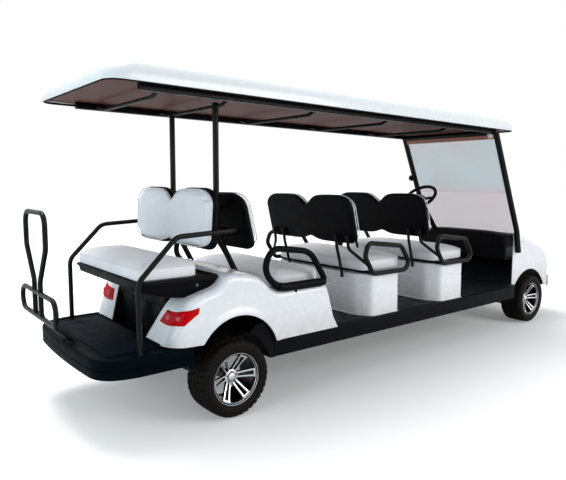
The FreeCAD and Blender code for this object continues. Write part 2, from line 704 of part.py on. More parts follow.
def back_outline(half_width, height, notch, low_notch, corner):
    """Two humps side by side, as a flat outline of width and height."""
    knots = []
    for wide, tall, (corner_out, corner_up), (dip, lift) in BACK_KNOT_SHARES:
        knots.append((half_width * wide + corner * corner_out,
                      height * tall + corner * corner_up + notch * dip + low_notch * lift))
    knots = [(float(y), float(z)) for y, z in knots]
    right = Part.BSplineCurve()
    right.interpolate([FreeCAD.Vector(0, y, z) for y, z in knots])
    left = Part.BSplineCurve()
    left.interpolate([FreeCAD.Vector(0, -y, z) for y, z in reversed(knots)])
    return Part.Face(Part.Wire([right.toShape(), left.toShape()]))


def backrest(label, x_low, z_low, x_high, z_high, half_width, facing):
    """A shell with its pad in front; facing is +1 where the pad looks forward."""
    run = FreeCAD.Vector(float(x_high - x_low), 0, float(z_high - z_low))
    tilt = FreeCAD.Rotation(FreeCAD.Vector(0, 1, 0), math.degrees(math.atan2(run.x, run.z)))
    base = FreeCAD.Placement(point(x_low, ZERO, z_low), tilt)
    height = Size("0", run.Length)
    pieces = (
        ("shell", ZERO, S.shell_thick, ZERO),
        ("pad", S.shell_thick + S.skin_gap, S.pad_thick, S.pad_inset),
    )
    for kind, start, thick, inset in pieces:
        face = back_outline(half_width - inset, height - inset * 2, S.back_notch, S.back_lower_notch,
                            S.back_corner)
        face.translate(FreeCAD.Vector(float(start) * facing, 0, float(inset)))
        solid = face.extrude(FreeCAD.Vector(float(thick) * facing, 0, 0))
        item = shaped(f"backrest_{kind}_{label}_solid", solid)
        item.Placement = base
        node(item, f"backrest_{kind}_{label}")


THIRD_BACK = ahead(S.pod_front - S.third_back_behind)
THIRD_LEAN = (THIRD_BACK, S.back_low_height + S.back_lower_notch,
              THIRD_BACK - (S.back_top_behind - S.back_low_behind), S.back_top_height + S.back_lower_notch)
REAR_LEAN = (ahead(-S.rear_back_low), S.rear_back_bottom, ahead(-S.rear_back_high), S.rear_back_top)


def backrests():
    for label, shift in ROWS:
        front = ahead(S.pod_front + shift)
        backrest(label, front - S.back_low_behind, S.back_low_height, front - S.back_top_behind,
                 S.back_top_height, S.back_half_width, 1)
    backrest("third", *THIRD_LEAN, S.back_half_width, 1)
    backrest("rear", *REAR_LEAN, S.rear_back_half_width, -1)


backrests()


ARM_SAG_SHARE = 0.25


def arm_points(front, out, side):
    """The closed loop of an armrest, seen from the side."""
    y = out * side
    places = [
        (-S.arm_low_rear_behind, S.arm_bottom), (-S.arm_rear_behind, S.arm_mid_height),
        (-S.arm_top_rear_behind, S.arm_top - S.arm_front_drop * ARM_SAG_SHARE),
        (-S.arm_top_front_behind, S.arm_top - S.arm_front_drop), (S.arm_low_front_ahead, S.arm_bottom),
    ]
    return [point(front + x, y, z) for x, z in places]


def seat_frames():
    """Armrest loops, the cross tube between them and the braces that carry the backrest."""
    for label, shift in ROWS:
        front = ahead(S.pod_front + shift)
        bars = []
        arm_out = POD_HALF_WIDTH + S.arm_out_of_box
        cross_x = front - S.cross_tube_behind
        for side in (1, -1):
            loop = ring_shape(arm_points(front, arm_out, side), S.arm_tube, S.arm_bend)
            run = (S.back_top_behind - S.back_low_behind) * (
                float(S.brace_overlap) / float(S.back_top_height - S.back_low_height))
            back_x = front - S.back_low_behind - S.frame_tube - S.brace_gap
            face_x = front - S.pod_back_length - S.frame_tube - S.skin_gap
            brace = tube_shape([
                point(back_x - run, S.brace_out * side, S.back_low_height + S.brace_overlap),
                point(back_x, S.brace_out * side, S.back_low_height - S.brace_drop),
                point(face_x, S.brace_out * side, S.pod_top),
                point(face_x, S.brace_out * side, S.brace_foot_height),
            ], S.frame_tube, S.arm_bend)
            outer_y = (S.back_half_width - S.back_corner * OUTER_BRACE_SHARE) * side
            outer = tube_shape([
                point(back_x - run, outer_y, S.back_low_height + S.brace_overlap),
                point(back_x, outer_y, S.back_low_height - S.brace_drop),
                point(front - S.arm_low_rear_behind - S.overrun, arm_out * side, S.arm_brace_height),
            ], S.frame_tube, S.arm_bend)
            bars += [loop, brace, outer]
        cross = tube_shape([point(cross_x, -arm_out, CROSS_TUBE_HEIGHT),
                            point(cross_x, arm_out, CROSS_TUBE_HEIGHT)], S.frame_tube, S.arm_bend)
        bars.append(cross)
        whole = bars[0].multiFuse(bars[1:]).removeSplitter()
        node(shaped(f"{label}_seat_bars", whole), f"seat_frame_{label}")
    front = ahead(S.pod_front - S.third_arm_shift)
    body = body_block(S.skin_gap)[0]
    third_out = S.body_half_width - S.arm_in_of_body
    loops = []
    for side in (1, -1):
        loop = ring_shape(arm_points(front, third_out, side), S.third_arm_tube, S.arm_bend)
        start = S.arm_bend / 2 - S.arm_low_rear_behind
        base = tube_shape([point(front + start, third_out * side, S.arm_bottom),
                           point(front + S.arm_bend, third_out * side, S.arm_bottom)],
                          S.third_arm_base, S.arm_bend)
        loops.append(shaped(f"third_arm_{side + 1}", loop.fuse(base).cut(body).removeSplitter()))
    node(group("third_arms", loops), "armrests_third")


OUTER_BRACE_SHARE = 0.7
seat_frames()


def rear_seat_base():
    """Black tray under the rear-facing cushion, tapered below."""
    outline = [
        (-S.rear_base_back, S.rear_base_top),
        (-S.rear_base_back, S.rear_base_bottom + S.rear_base_taper / 2),
        (-S.rear_base_back + S.rear_base_taper, S.rear_base_bottom),
        (-S.shoulder_back, S.rear_base_bottom), (-S.rear_base_front, S.crest_height),
        (-S.rear_base_front, S.rear_base_top),
    ]
    points = [point(ahead(x), ZERO, z) for x, z in outline]
    tray = section_slab(points, S.rear_base_half_width).cut(body_block(S.skin_gap)[0])
    node(shaped("rear_tray", tray), "rear_seat_base")


rear_seat_base()


def rear_panel():
    """Dark panel that closes the gap between the fenders below the rear seat."""
    low = S.foot_deck_top + S.skin_gap
    back = ahead(-S.rear_panel_back)
    block = box("rear_panel_block", (back, back + S.rear_panel_thick),
                (-S.bay_half_width + S.skin_gap, S.bay_half_width - S.skin_gap),
                (low, S.rear_panel_top))
    node(block, "rear_inner_panel")


rear_panel()


def footrest_deck():
    """Step behind the body with a deep rim, rounded rear corners and a bearer over each rail."""
    x = (ahead(-S.foot_deck_rear), ahead(-S.foot_deck_front))
    block = box("foot_deck_block", x, (-FOOT_DECK_HALF_WIDTH, FOOT_DECK_HALF_WIDTH),
                (S.foot_deck_top - S.foot_deck_thick, S.foot_deck_top))
    half_way = float(x[0] + x[1]) / 2
    plan = round_edges("foot_deck_plan", block, S.foot_deck_corner,
                       lambda edge: edge.BoundBox.XLength < TOUCH and edge.BoundBox.YLength < TOUCH
                       and edge.BoundBox.Center.x < half_way)
    skirt = S.foot_deck_skirt
    plate = S.foot_deck_top - S.foot_deck_plate
    hollow_below = box("foot_deck_hollow", (x[0] + skirt, x[1] + skirt),
                       (skirt - FOOT_DECK_HALF_WIDTH, FOOT_DECK_HALF_WIDTH - skirt),
                       (S.foot_deck_top - S.foot_deck_thick - skirt, plate))
    tool = round_edges("foot_deck_inside", hollow_below, S.foot_deck_corner - skirt,
                       lambda edge: edge.BoundBox.XLength < TOUCH and edge.BoundBox.YLength < TOUCH
                       and edge.BoundBox.Center.x < half_way)
    tray = cut("foot_deck_tray", plan, tool)
    mat_block = box("deck_mat_block", (ahead(-S.deck_mat_rear), ahead(-S.deck_mat_front)),
                    (-S.deck_mat_half_width, S.deck_mat_half_width),
                    (S.foot_deck_top - S.deck_mat_thick, S.foot_deck_top + S.deck_mat_thick))
    mat = round_edges("deck_mat", mat_block, S.deck_mat_corner,
                      lambda edge: edge.BoundBox.ZLength > edge.BoundBox.XLength + edge.BoundBox.YLength)
    bearers = []
    for side in (1, -1):
        y = sorted((S.rail_half_gap * side, (S.rail_half_gap + S.rail_width) * side), key=float)
        bearers.append(box(f"deck_bearer_{side + 1}", (ahead(-S.frame_rear), x[1]), y,
                           (RAIL_TOP + S.skin_gap, plate)))
    node(fuse("foot_deck_parts", [tray, mat] + bearers), "footrest_deck")


footrest_deck()


def rear_grab_rails():
    """Side rails of the rear seat: from the post, over the seat and down to the deck."""
    bars = []
    for side in (1, -1):
        y = S.grab_out * side
        inner = (S.post_out + S.post_tube + S.skin_gap) * side
        points = [
            point(ahead(S.post_ahead), inner, S.grab_top_height + S.overrun),
            point(ahead(S.post_ahead), y, S.grab_top_height + S.overrun),
            point(ahead(-S.grab_top_rear), y, S.grab_top_height),
            point(ahead(-S.grab_low_rear), y, S.grab_low_height),
            point(ahead(-S.grab_low_rear), y, S.foot_deck_top + S.skin_gap),
        ]
        bars.append(shaped(f"grab_rail_{side + 1}", tube_shape(points, S.rail_tube, S.grab_bend)))
    node(group("grab_rails", bars), "rear_grab_rails")


rear_grab_rails()


def footrest_grab_bar():
    """Upright hoop and a wide oval ring at the rear edge of the deck."""
    back = ahead(S.bar_tube - S.rear_overhang)
    w = S.bar_waist_half_width
    hoop = [
        point(ahead(-S.bar_foot_back), w * -1, S.foot_deck_top - S.overrun),
        point(back, w * -1, S.ring_low_height), point(back, w * -1, S.bar_waist_height),
        point(back, S.bar_top_half_width * -1, S.bar_top_height - S.bar_top_half_width),
        point(back, S.bar_top_half_width * -1, S.bar_top_height),
        point(back, S.bar_top_half_width, S.bar_top_height),
        point(back, S.bar_top_half_width, S.bar_top_height - S.bar_top_half_width),
        point(back, w, S.bar_waist_height), point(back, w, S.ring_low_height),
        point(ahead(-S.bar_foot_back), w, S.foot_deck_top - S.overrun),
    ]
    ring = [
        point(back, -S.ring_half_width, S.ring_low_height),
        point(back, -S.ring_half_width, S.ring_high_height),
        point(back, S.ring_half_width, S.ring_high_height),
        point(back, S.ring_half_width, S.ring_low_height),
    ]
    hoop_bar = above(tube_shape(hoop, S.bar_tube, S.ring_bend), S.foot_deck_top + S.skin_gap)
    ring_bar = ring_shape(ring, S.bar_tube, S.ring_bend)
    node(shaped("grab_hoop", hoop_bar.fuse(ring_bar).removeSplitter()), "footrest_grab_bar")


footrest_grab_bar()


# roof
def roof_height(x):
    """Height of the roof's lip at a place along it."""
    share = (float(x) - float(ahead(-S.roof_rear))) / float(S.roof_rear + ROOF_FRONT)
    return S.roof_lip_rear_height + (S.roof_lip_front_height - S.roof_lip_rear_height) * share


def roof_form(inset, foot):
    """The roof's outer form moved inward by a size, down to a height below its lip."""
    rear, front = ahead(-S.roof_rear) + inset, ahead(ROOF_FRONT) - inset
    half = S.roof_half_width - inset
    rise = S.roof_rise - inset
    run = point(front - rear, ZERO, roof_height(front) - roof_height(rear))
    side_view = [(rear, roof_height(rear) - foot)]
    for run_share, rise_share in ROOF_EDGE_SHARES:
        x = rear + S.roof_slope * run_share
        side_view.append((x, roof_height(x) + rise * rise_share))
    for run_share, rise_share in reversed(ROOF_EDGE_SHARES):
        x = front - S.roof_slope * run_share
        side_view.append((x, roof_height(x) + rise * rise_share))
    side_view.append((front, roof_height(front) - foot))
    rear_view = [(half, -foot)]
    rear_view += [(half - S.roof_side_slope * run_share, rise * rise_share)
                  for run_share, rise_share in ROOF_EDGE_SHARES]
    rear_view += [(-y, z) for y, z in reversed(rear_view)]
    along = section_slab([point(x, ZERO, z) for x, z in side_view], half)
    across = slab([point(rear, y, roof_height(rear) + z) for y, z in rear_view], run)
    plan = slab_box((rear, front), (-half, half), (ZERO, OVERALL_LENGTH))
    plan = plan_rounded(plan, S.roof_corner - inset, lambda edge: edge.BoundBox.ZLength > float(half))
    return along.common(across).common(plan)


# how far in and how far up each place of the roof's edge lies
ROOF_EDGE_SHARES = ((0.0, 0.0), (0.3, 0.6), (1.0, 1.0))


def roof():
    """Shallow tray turned upside down, its faces sloped all round, with a liner below."""
    outer = roof_form(ZERO, ZERO)
    inner = roof_form(S.roof_wall, S.overrun)
    node(shaped("roof_shell", outer.cut(inner)), "roof_panel")
    rear, front = ahead(-S.roof_rear), ahead(ROOF_FRONT)
    corners = [point(x, -S.roof_half_width, roof_height(x) + S.liner_lift + z)
               for x, z in ((rear, ZERO), (front, ZERO), (front, S.liner_thick), (rear, S.liner_thick))]
    liner = slab(corners, point(ZERO, S.roof_half_width * 2, ZERO))
    liner = liner.common(roof_form(S.roof_wall + S.skin_gap, S.overrun))
    node(shaped("roof_underside", liner), "roof_liner")


roof()


def roof_rails():
    """Box rails below both sides of the roof, joined by cross bows."""
    half = S.roof_rail_size / 2
    solids = []
    for side in (1, -1):
        rear, front = ahead(-S.roof_rail_rear), ahead(STRUT_TOP_AHEAD - S.strut_tube - S.skin_gap)
        corners = []
        for x, drop in ((rear, ZERO), (front, ZERO), (front, S.roof_rail_size), (rear, S.roof_rail_size)):
            corners.append(point(x, S.roof_rail_out * side - half,
                                 roof_height(x) + S.liner_lift - S.skin_gap - drop))
        solids.append(slab(corners, point(ZERO, S.roof_rail_size, ZERO)))
    places = [S.post_ahead] + [(S.roof_rail_rear + STRUT_TOP_AHEAD) * share - S.roof_rail_rear
                               for share in BOW_SHARES]
    for place_ahead in places:
        x = ahead(place_ahead)
        z = roof_height(x) + S.liner_lift - S.skin_gap - S.bow_radius
        solids.append(tube_shape([point(x, -S.roof_rail_out, z), point(x, S.roof_rail_out, z)],
                                 S.bow_radius - S.skin_gap, S.arm_bend))
    node(shaped("rail_frame", solids[0].multiFuse(solids[1:]).removeSplitter()), "roof_rails")


BOW_SHARES = (0.04, 0.38, 0.6, 0.82)
roof_rails()


def lean_at(lean, height):
    """How far ahead a leaning line between a low and a high place is at a height."""
    x_low, z_low, x_high, z_high = lean
    return x_low + (x_high - x_low) * (float(height - z_low) / float(z_high - z_low))


def rear_posts():
    """Posts between the two rearmost backrests, bent forward to feet on the body."""
    posts = []
    body = body_block(S.skin_gap)[0]
    for side in (1, -1):
        y = S.post_out * side
        x = ahead(S.post_ahead)
        top = roof_height(x) + S.liner_lift - S.skin_gap - S.bow_radius * 2
        post = tube_shape([
            point(x, y, top), point(x, y, S.post_bend_height),
            point(ahead(S.post_foot_ahead), y, S.post_foot_height - S.overrun),
        ], S.post_tube, S.post_bend)
        post = post.cut(body)
        for height in (S.bracket_low, S.bracket_high):
            behind = lean_at(REAR_LEAN, height + S.bracket_radius) + S.skin_gap
            front = lean_at(THIRD_LEAN, height + S.bracket_radius) - S.skin_gap
            bracket = Part.makeCylinder(float(S.bracket_radius), float(front - behind),
                                        point(behind, y, height), FORWARD)
            post = post.fuse(bracket)
        posts.append(shaped(f"roof_post_{side + 1}", post))
    node(group("roof_posts", posts), "rear_struts")


rear_posts()


def windshield():
    """Clear screen between two pillars, with a bar across the top."""
    bars = []
    top_x = ahead(STRUT_TOP_AHEAD)
    low_x = ahead(STRUT_LOW_AHEAD)
    for side in (1, -1):
        bars.append(tube_shape([
            point(top_x, S.strut_top_out * side, S.strut_top_height),
            point(low_x, STRUT_LOW_OUT * side, S.strut_low_height),
            point(ahead(STRUT_FOOT_AHEAD), STRUT_LOW_OUT * side, S.strut_foot_height),
        ], S.strut_tube, S.arm_bend))
    bars.append(tube_shape([
        point(top_x, -S.strut_top_out, S.strut_top_height),
        point(top_x, S.strut_top_out, S.strut_top_height),
    ], S.strut_tube, S.arm_bend))
    node(shaped("pillar_frame", bars[0].multiFuse(bars[1:]).removeSplitter()), "front_struts")
    inner = S.strut_top_out - S.strut_tube - S.skin_gap
    slope = (low_x, S.strut_low_height, top_x, S.strut_top_height)
    low = S.cowl_top + S.skin_gap
    high = S.strut_top_height - (S.strut_top_height - S.strut_low_height) * SCREEN_DROP_SHARE
    corners = [
        point(lean_at(slope, high), -inner, high), point(lean_at(slope, low), -inner, low),
        point(lean_at(slope, low), inner, low), point(lean_at(slope, high), inner, high),
    ]
    node(shaped("screen", slab(corners, point(S.glass_thick, ZERO, ZERO))), "windshield")


SCREEN_DROP_SHARE = 0.04
windshield()


# front
def head_lamp(side, grow):
    """A round lamp square to the sloped face of the nose, grown by a size."""
    low = point(ahead(NOSE_AHEAD), S.head_lamp_out * side, S.nose_height)
    high = point(ahead(HOOD_END), S.head_lamp_out * side, S.hood_end_height)
    slope = (high - low).normalize()
    out = FreeCAD.Vector(slope.z, 0, -slope.x)
    back = (low + high) / 2 - out * float(S.head_lamp_depth - S.head_lamp_proud)
    return Part.makeCylinder(float(S.head_lamp_radius + grow), float(S.head_lamp_depth), back, out)


def front_cowl():
    """White nose with its hood and arches, and the lamps in it."""
    outline = [
        (COWL_REAR, S.cowl_bottom), (COWL_REAR, S.cowl_top), (HOOD_START, S.cowl_top),
        (HOOD_END, S.hood_end_height), (NOSE_AHEAD, S.nose_height), (NOSE_AHEAD, S.cowl_bottom),
    ]
    points = [point(ahead(x), ZERO, z) for x, z in outline]
    outer, inner = hollow(points, S.cowl_half_width, S.cowl_wall, S.cowl_bottom - S.skin_gap)
    def rim_edge(inset):
        flank = float(S.cowl_half_width - inset)
        limit = float(ahead(HOOD_START) - inset) - NEAR

        def on_rim(edge):
            bound = edge.BoundBox
            on_flank = abs(abs(bound.Center.y) - flank) < NEAR and bound.YLength < NEAR
            return on_flank and bound.XMin > limit
        return on_rim

    body = plan_rounded(outer, S.cowl_corner, rim_edge(ZERO)).cut(
        plan_rounded(inner, S.cowl_corner - S.cowl_wall, rim_edge(S.cowl_wall)))
    reach = S.cowl_half_width + S.overrun
    arch = Part.makeCylinder(float(S.front_arch_radius), float(reach * 2),
                             point(FRONT_AXLE, -reach, S.front_arch_height), LEFTWARD)
    open_half = S.cowl_half_width - S.cowl_wall
    open_back = slab_box((ahead(COWL_REAR - S.overrun), ahead(HOOD_START - S.overrun)),
                         (-open_half, open_half), (ZERO, S.cowl_top + S.overrun))
    below = slab_box((ahead(COWL_REAR - S.overrun), FRONT_AXLE), (-reach, reach),
                     (ZERO, S.floor_top - S.floor_thick))
    body = body.cut(arch).cut(open_back).cut(below)
    for side in (1, -1):
        body = body.cut(head_lamp(side, S.skin_gap))
    node(shaped("nose_cover", body), "front_cowl")
    lamps = [shaped(f"head_lamp_{side + 1}", head_lamp(side, ZERO)) for side in (1, -1)]
    node(group("head_lamp_pair", lamps), "head_lights")


front_cowl()


def dashboard():
    """Black inner cowl: dash top, face, knee panel and the lining of the footwell."""
    wall = S.dash_wall
    gap = S.skin_gap
    lap = wall * DASH_LAP_SHARE
    front = HOOD_START - S.overrun - gap
    toe_top = S.floor_top + S.toe_rise
    toe_back = FLOOR_FRONT + S.toe_run
    outline = [
        (DASH_REAR, S.dash_low - wall), (DASH_REAR, S.cowl_top - wall * 2),
        (DASH_REAR + wall * 2, S.cowl_top),
        (front, S.cowl_top), (front, S.cowl_top - wall), (DASH_REAR + lap, S.cowl_top - wall),
        (DASH_REAR + wall, S.cowl_top - lap), (DASH_REAR + wall, S.dash_low), (DASH_KNEE, S.dash_low),
        (toe_back + wall, toe_top + gap + wall), (toe_back + wall, toe_top + gap), (toe_back, toe_top + gap),
        (DASH_KNEE - wall / 2, S.dash_low - wall),
    ]
    half = S.cowl_half_width - S.cowl_wall - gap
    dash = section_slab([point(ahead(x), ZERO, z) for x, z in outline], half)
    flank = [
        (COWL_REAR, S.floor_top + gap), (FLOOR_FRONT, S.floor_top + gap), (toe_back, toe_top + gap),
        (DASH_KNEE, S.dash_low - wall), (COWL_REAR, S.dash_low - wall),
    ]
    solids = [dash]
    for side in (1, -1):
        y = min(half * side, (half - S.footwell_wall) * side, key=float)
        corners = [point(ahead(x), y, z) for x, z in flank]
        solids.append(slab(corners, point(ZERO, S.footwell_wall, ZERO)))
    node(shaped("dash_moulding", solids[0].multiFuse(solids[1:]).removeSplitter()), "dashboard")


DASH_LAP_SHARE = 2.5
dashboard()


def front_bumper():
    """Black bar that closes the nose below."""
    x = (ahead(NOSE_AHEAD + S.skin_gap), OVERALL_LENGTH / 2)
    block = box("bumper_block", x, (-S.bumper_half_width, S.bumper_half_width),
                (S.bumper_bottom, S.bumper_bottom + S.bumper_height))
    front = float(x[1])
    node(round_edges("bumper_bar", block, S.bumper_corner,
                     lambda edge: abs(edge.BoundBox.Center.x - front) < 1), "front_bumper")


front_bumper()


# running gear
def axles():
    """Driven rear axle with its motor, and a front beam with kingpin eyes."""
    height = S.tyre_diameter / 2
    inner = S.hub_bore - S.skin_gap
    tube_half = S.rear_wheel_out - S.tyre_width / 2
    tube = cylinder("axle_tube", S.axle_tube, tube_half * 2, REAR_AXLE, -tube_half, height, ALONG_Y)
    stub_half = S.rear_wheel_out + S.bead_half_width - S.hub_face_depth
    stub = cylinder("axle_shaft", inner, stub_half * 2, REAR_AXLE, -stub_half, height, ALONG_Y)
    housing = cylinder("axle_housing", S.housing_radius, S.housing_width, REAR_AXLE, -S.housing_width / 2,
                       height, ALONG_Y)
    motor = cylinder("axle_motor", S.motor_radius, S.motor_length, REAR_AXLE + S.housing_radius / 2,
                     ZERO, height, ALONG_X)
    node(fuse("rear_axle_parts", [tube, stub, housing, motor]), "rear_axle")
    half = S.kingpin_out - S.knuckle_radius - S.yoke_clearance
    beam = box("front_beam_bar", (FRONT_AXLE - S.front_beam / 2, FRONT_AXLE + S.front_beam / 2),
               (-half, half), (height - S.front_beam / 2, height + S.front_beam / 2))
    parts = [beam]
    gap = S.knuckle_height / 2 + S.skin_gap
    for side in (1, -1):
        for up in (1, -1):
            low = height + (gap if up > 0 else -gap - S.arm_thick)
            y_side = sorted(((half - S.arm_thick) * side, S.kingpin_out * side), key=float)
            parts.append(box(f"yoke_{side + 1}_{up + 1}",
                             (FRONT_AXLE - S.knuckle_radius, FRONT_AXLE + S.knuckle_radius), y_side,
                             (low, low + S.arm_thick)))
            parts.append(cylinder(f"yoke_eye_{side + 1}_{up + 1}", S.knuckle_radius, S.arm_thick,
                                  FRONT_AXLE, S.kingpin_out * side, low))
        y_web = sorted(((half - S.arm_thick) * side, half * side), key=float)
        parts.append(box(f"yoke_web_{side + 1}",
                         (FRONT_AXLE - S.knuckle_radius, FRONT_AXLE + S.knuckle_radius), y_web,
                         (height - gap - S.arm_thick, height + gap + S.arm_thick)))
    node(fuse("front_axle_parts", parts), "front_axle")


axles()


def knuckles():
    """Upright, spindle and steering arm of each front wheel, and the rod that joins the arms."""
    height = S.tyre_diameter / 2
    half = S.knuckle_height / 2
    arm_low = height - half
    for label, side in (("left", 1), ("right", -1)):
        y = S.kingpin_out * side
        upright = cylinder(f"upright_{label}", S.knuckle_radius, S.knuckle_height, FRONT_AXLE, y,
                           height - half)
        reach = S.front_wheel_out + S.bead_half_width - S.hub_face_depth
        length = reach - S.kingpin_out
        start = S.kingpin_out if side > 0 else -reach
        spindle = cylinder(f"spindle_{label}", S.hub_bore - S.skin_gap, length, FRONT_AXLE,
                           start, height, ALONG_Y)
        arm = box(f"arm_{label}", (FRONT_AXLE - S.arm_reach, FRONT_AXLE),
                  (y - S.arm_width / 2, y + S.arm_width / 2), (arm_low, arm_low + S.arm_thick))
        eye = cylinder(f"arm_eye_{label}", S.eye_radius, S.arm_thick, FRONT_AXLE - S.arm_reach, y, arm_low)
        node(fuse(f"knuckle_parts_{label}", [upright, spindle, arm, eye]), f"knuckle_{label}")
    rod_top = arm_low - S.skin_gap
    rod_height = rod_top - S.rod_end_height / 2
    rod = cylinder("tie_rod_bar", S.tie_rod_radius, S.kingpin_out * 2, FRONT_AXLE - S.arm_reach,
                   -S.kingpin_out, rod_height, ALONG_Y)
    ends = [cylinder(f"tie_rod_end_{side + 1}", S.eye_radius, S.rod_end_height, FRONT_AXLE - S.arm_reach,
                     S.kingpin_out * side, rod_top - S.rod_end_height) for side in (1, -1)]
    node(fuse("tie_rod_parts", [rod] + ends), "tie_rod")


knuckles()


def springs():
    """Leaf springs between both axles and the frame."""
    solids = []
    height = S.tyre_diameter / 2
    flat = S.spring_half_length - S.spring_eye_length
    places = (
        ("rear", REAR_AXLE, S.axle_tube, S.spring_out),
        ("front", FRONT_AXLE, S.front_beam / 2, S.front_rail_half_gap + S.rail_width / 2),
    )
    for name, x, radius, out in places:
        low = height + radius + S.skin_gap
        high = RAIL_BOTTOM - S.skin_gap
        for side in (1, -1):
            y = out * side
            bend = [
                (-S.spring_half_length, high - S.spring_leaf), (-S.spring_half_length, high),
                (-flat, high), (ZERO, low + S.spring_leaf * 2),
                (flat, high), (S.spring_half_length, high),
                (S.spring_half_length, high - S.spring_leaf), (flat, high - S.spring_leaf),
                (S.spring_half_seat, low), (-S.spring_half_seat, low),
                (-flat, high - S.spring_leaf),
            ]
            corners = [point(x + dx, y - S.spring_width / 2, z) for dx, z in bend]
            leaf = slab(corners, point(ZERO, S.spring_width, ZERO))
            solids.append(shaped(f"{name}_spring_{side + 1}", leaf))
    node(group("leaf_springs", solids), "springs")


springs()


def battery():
    """The battery as one plain block below the third row."""
    back = ahead(S.battery_ahead)
    node(box("battery_block", (back, back + S.battery_length), (-S.battery_width / 2, S.battery_width / 2),
             (RAIL_TOP + S.skin_gap, RAIL_TOP + S.skin_gap + S.battery_height)), "battery_pack")


battery()


def steering():
    """Column, and the wheel with its hub and three spokes, square to the column."""
    tilt = FreeCAD.Rotation(FreeCAD.Vector(0, 1, 0), -float(sheet.get("column_tilt_degrees")))
    centre = point(ahead(WHEEL_CENTRE_AHEAD), S.wheel_out, S.wheel_centre_height)
    at = FreeCAD.Placement(centre, tilt)
    rim = Part.makeTorus(float(S.steer_radius), float(S.steer_rim))
    hub = Part.makeCylinder(float(S.steer_hub_radius), float(S.steer_hub_height),
                            FreeCAD.Vector(0, 0, -float(S.steer_hub_height)))
    solids = [hub]
    for angle in STEER_SPOKES:
        turn = FreeCAD.Rotation(FreeCAD.Vector(0, 0, 1), angle)
        inner = turn.multVec(point(S.steer_hub_radius * SPOKE_START_SHARE, ZERO, -S.steer_hub_height / 2))
        outer = turn.multVec(point(S.steer_radius, ZERO, ZERO))
        solids.append(Part.makeCylinder(float(S.steer_spoke), (outer - inner).Length, inner, outer - inner))
    wheel = shaped("wheel_ring", rim.multiFuse(solids).removeSplitter())
    wheel.Placement = at
    node(wheel, "steering_wheel")
    top = -S.steer_hub_height - S.skin_gap
    drop = S.wheel_centre_height - S.cowl_top
    length = float(drop) / math.cos(math.radians(sheet.get("column_tilt_degrees")))
    jacket = Part.makeCylinder(float(S.column_radius), length,
                               point(ZERO, ZERO, top), FreeCAD.Vector(0, 0, -1))
    jacket.Placement = at
    column = shaped("column_jacket", above(jacket, S.cowl_top + S.skin_gap))
    node(column, "steering_column")


STEER_SPOKES = (0, 120, 240)
SPOKE_START_SHARE = 0.6
steering()


def pedals():
    """Two hanging pedals on stems below the dash."""
    solids = []
    low = S.floor_top + S.pedal_lift
    for number in (0, 1):
        y = S.pedal_out + S.pedal_pitch * number
        plate = box(f"pedal_plate_{number}", (ahead(PEDAL_AHEAD), ahead(PEDAL_AHEAD) + S.pedal_thick),
                    (y, y + S.pedal_width), (low, low + S.pedal_height))
        stem = shaped(f"pedal_stem_{number}", tube_shape([
            point(ahead(PEDAL_AHEAD) + S.pedal_thick / 2, y + S.pedal_width / 2, low + S.pedal_height / 2),
            point(ahead(PEDAL_AHEAD) + S.pedal_thick / 2, y + S.pedal_width / 2,
                  S.dash_low - S.dash_wall - S.skin_gap),
        ], S.pedal_stem, S.arm_bend))
        solids.append(fuse(f"pedal_{number}", [plate, stem]))
    node(group("pedal_pair", solids), "pedals")


pedals()

doc.recompute()
for item in doc.Objects:
    if "Invalid" in item.State or "Error" in item.State:
        raise RuntimeError(f"{item.Name} failed: {item.State}")
for item in NODES:
    if item.Shape.isNull() or not item.Shape.isValid():
        raise RuntimeError(f"{item.Label} has no valid shape")

os.makedirs("parts", exist_ok=True)
for item in NODES:
    item.Shape.exportStep(f"parts/{item.Label}.step")
    print(item.Label, len(item.Shape.Solids), round(item.Shape.Volume))
whole = Part.makeCompound([item.Shape for item in NODES]).BoundBox
print(len(NODES), "nodes", whole)
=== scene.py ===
# %% [markdown]
# # A long passenger cart
# The cart in the photograph has three forward rows, a rear-facing seat over a black
# footrest deck, and a white roof on slim black tubes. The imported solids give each
# place and size. This lesson dresses them: first the camera and the light, then one
# finish at a time, and then the pieces that need more than a solid can give.

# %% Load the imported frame
import json
import math
from collections import namedtuple

import bmesh
import bpy
import numpy as np
from mathutils import Matrix, Vector


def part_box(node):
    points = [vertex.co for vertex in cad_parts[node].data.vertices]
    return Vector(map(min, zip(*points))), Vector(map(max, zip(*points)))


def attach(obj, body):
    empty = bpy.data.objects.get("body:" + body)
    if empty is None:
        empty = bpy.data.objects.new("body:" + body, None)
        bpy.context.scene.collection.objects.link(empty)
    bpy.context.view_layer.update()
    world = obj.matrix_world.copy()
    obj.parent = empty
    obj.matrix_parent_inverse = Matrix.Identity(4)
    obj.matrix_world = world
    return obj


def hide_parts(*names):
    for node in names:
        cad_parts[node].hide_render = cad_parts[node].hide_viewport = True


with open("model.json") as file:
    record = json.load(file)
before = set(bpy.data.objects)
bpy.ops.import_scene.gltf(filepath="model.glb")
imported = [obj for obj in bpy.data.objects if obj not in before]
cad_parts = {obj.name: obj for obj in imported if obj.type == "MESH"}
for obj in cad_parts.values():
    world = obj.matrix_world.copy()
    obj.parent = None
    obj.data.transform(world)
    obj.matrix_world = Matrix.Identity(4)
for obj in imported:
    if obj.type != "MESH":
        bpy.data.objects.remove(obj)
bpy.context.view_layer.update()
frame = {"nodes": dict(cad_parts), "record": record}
cad = frame["nodes"]
scene = bpy.context.scene

# %% [markdown]
# ## The camera
# The photographer stood behind the cart's right rear corner. The place and the turns
# below were worked out from the wheels, the floor line and the roof, so the picture
# lines up with the photograph. The lens follows from the picture's width.

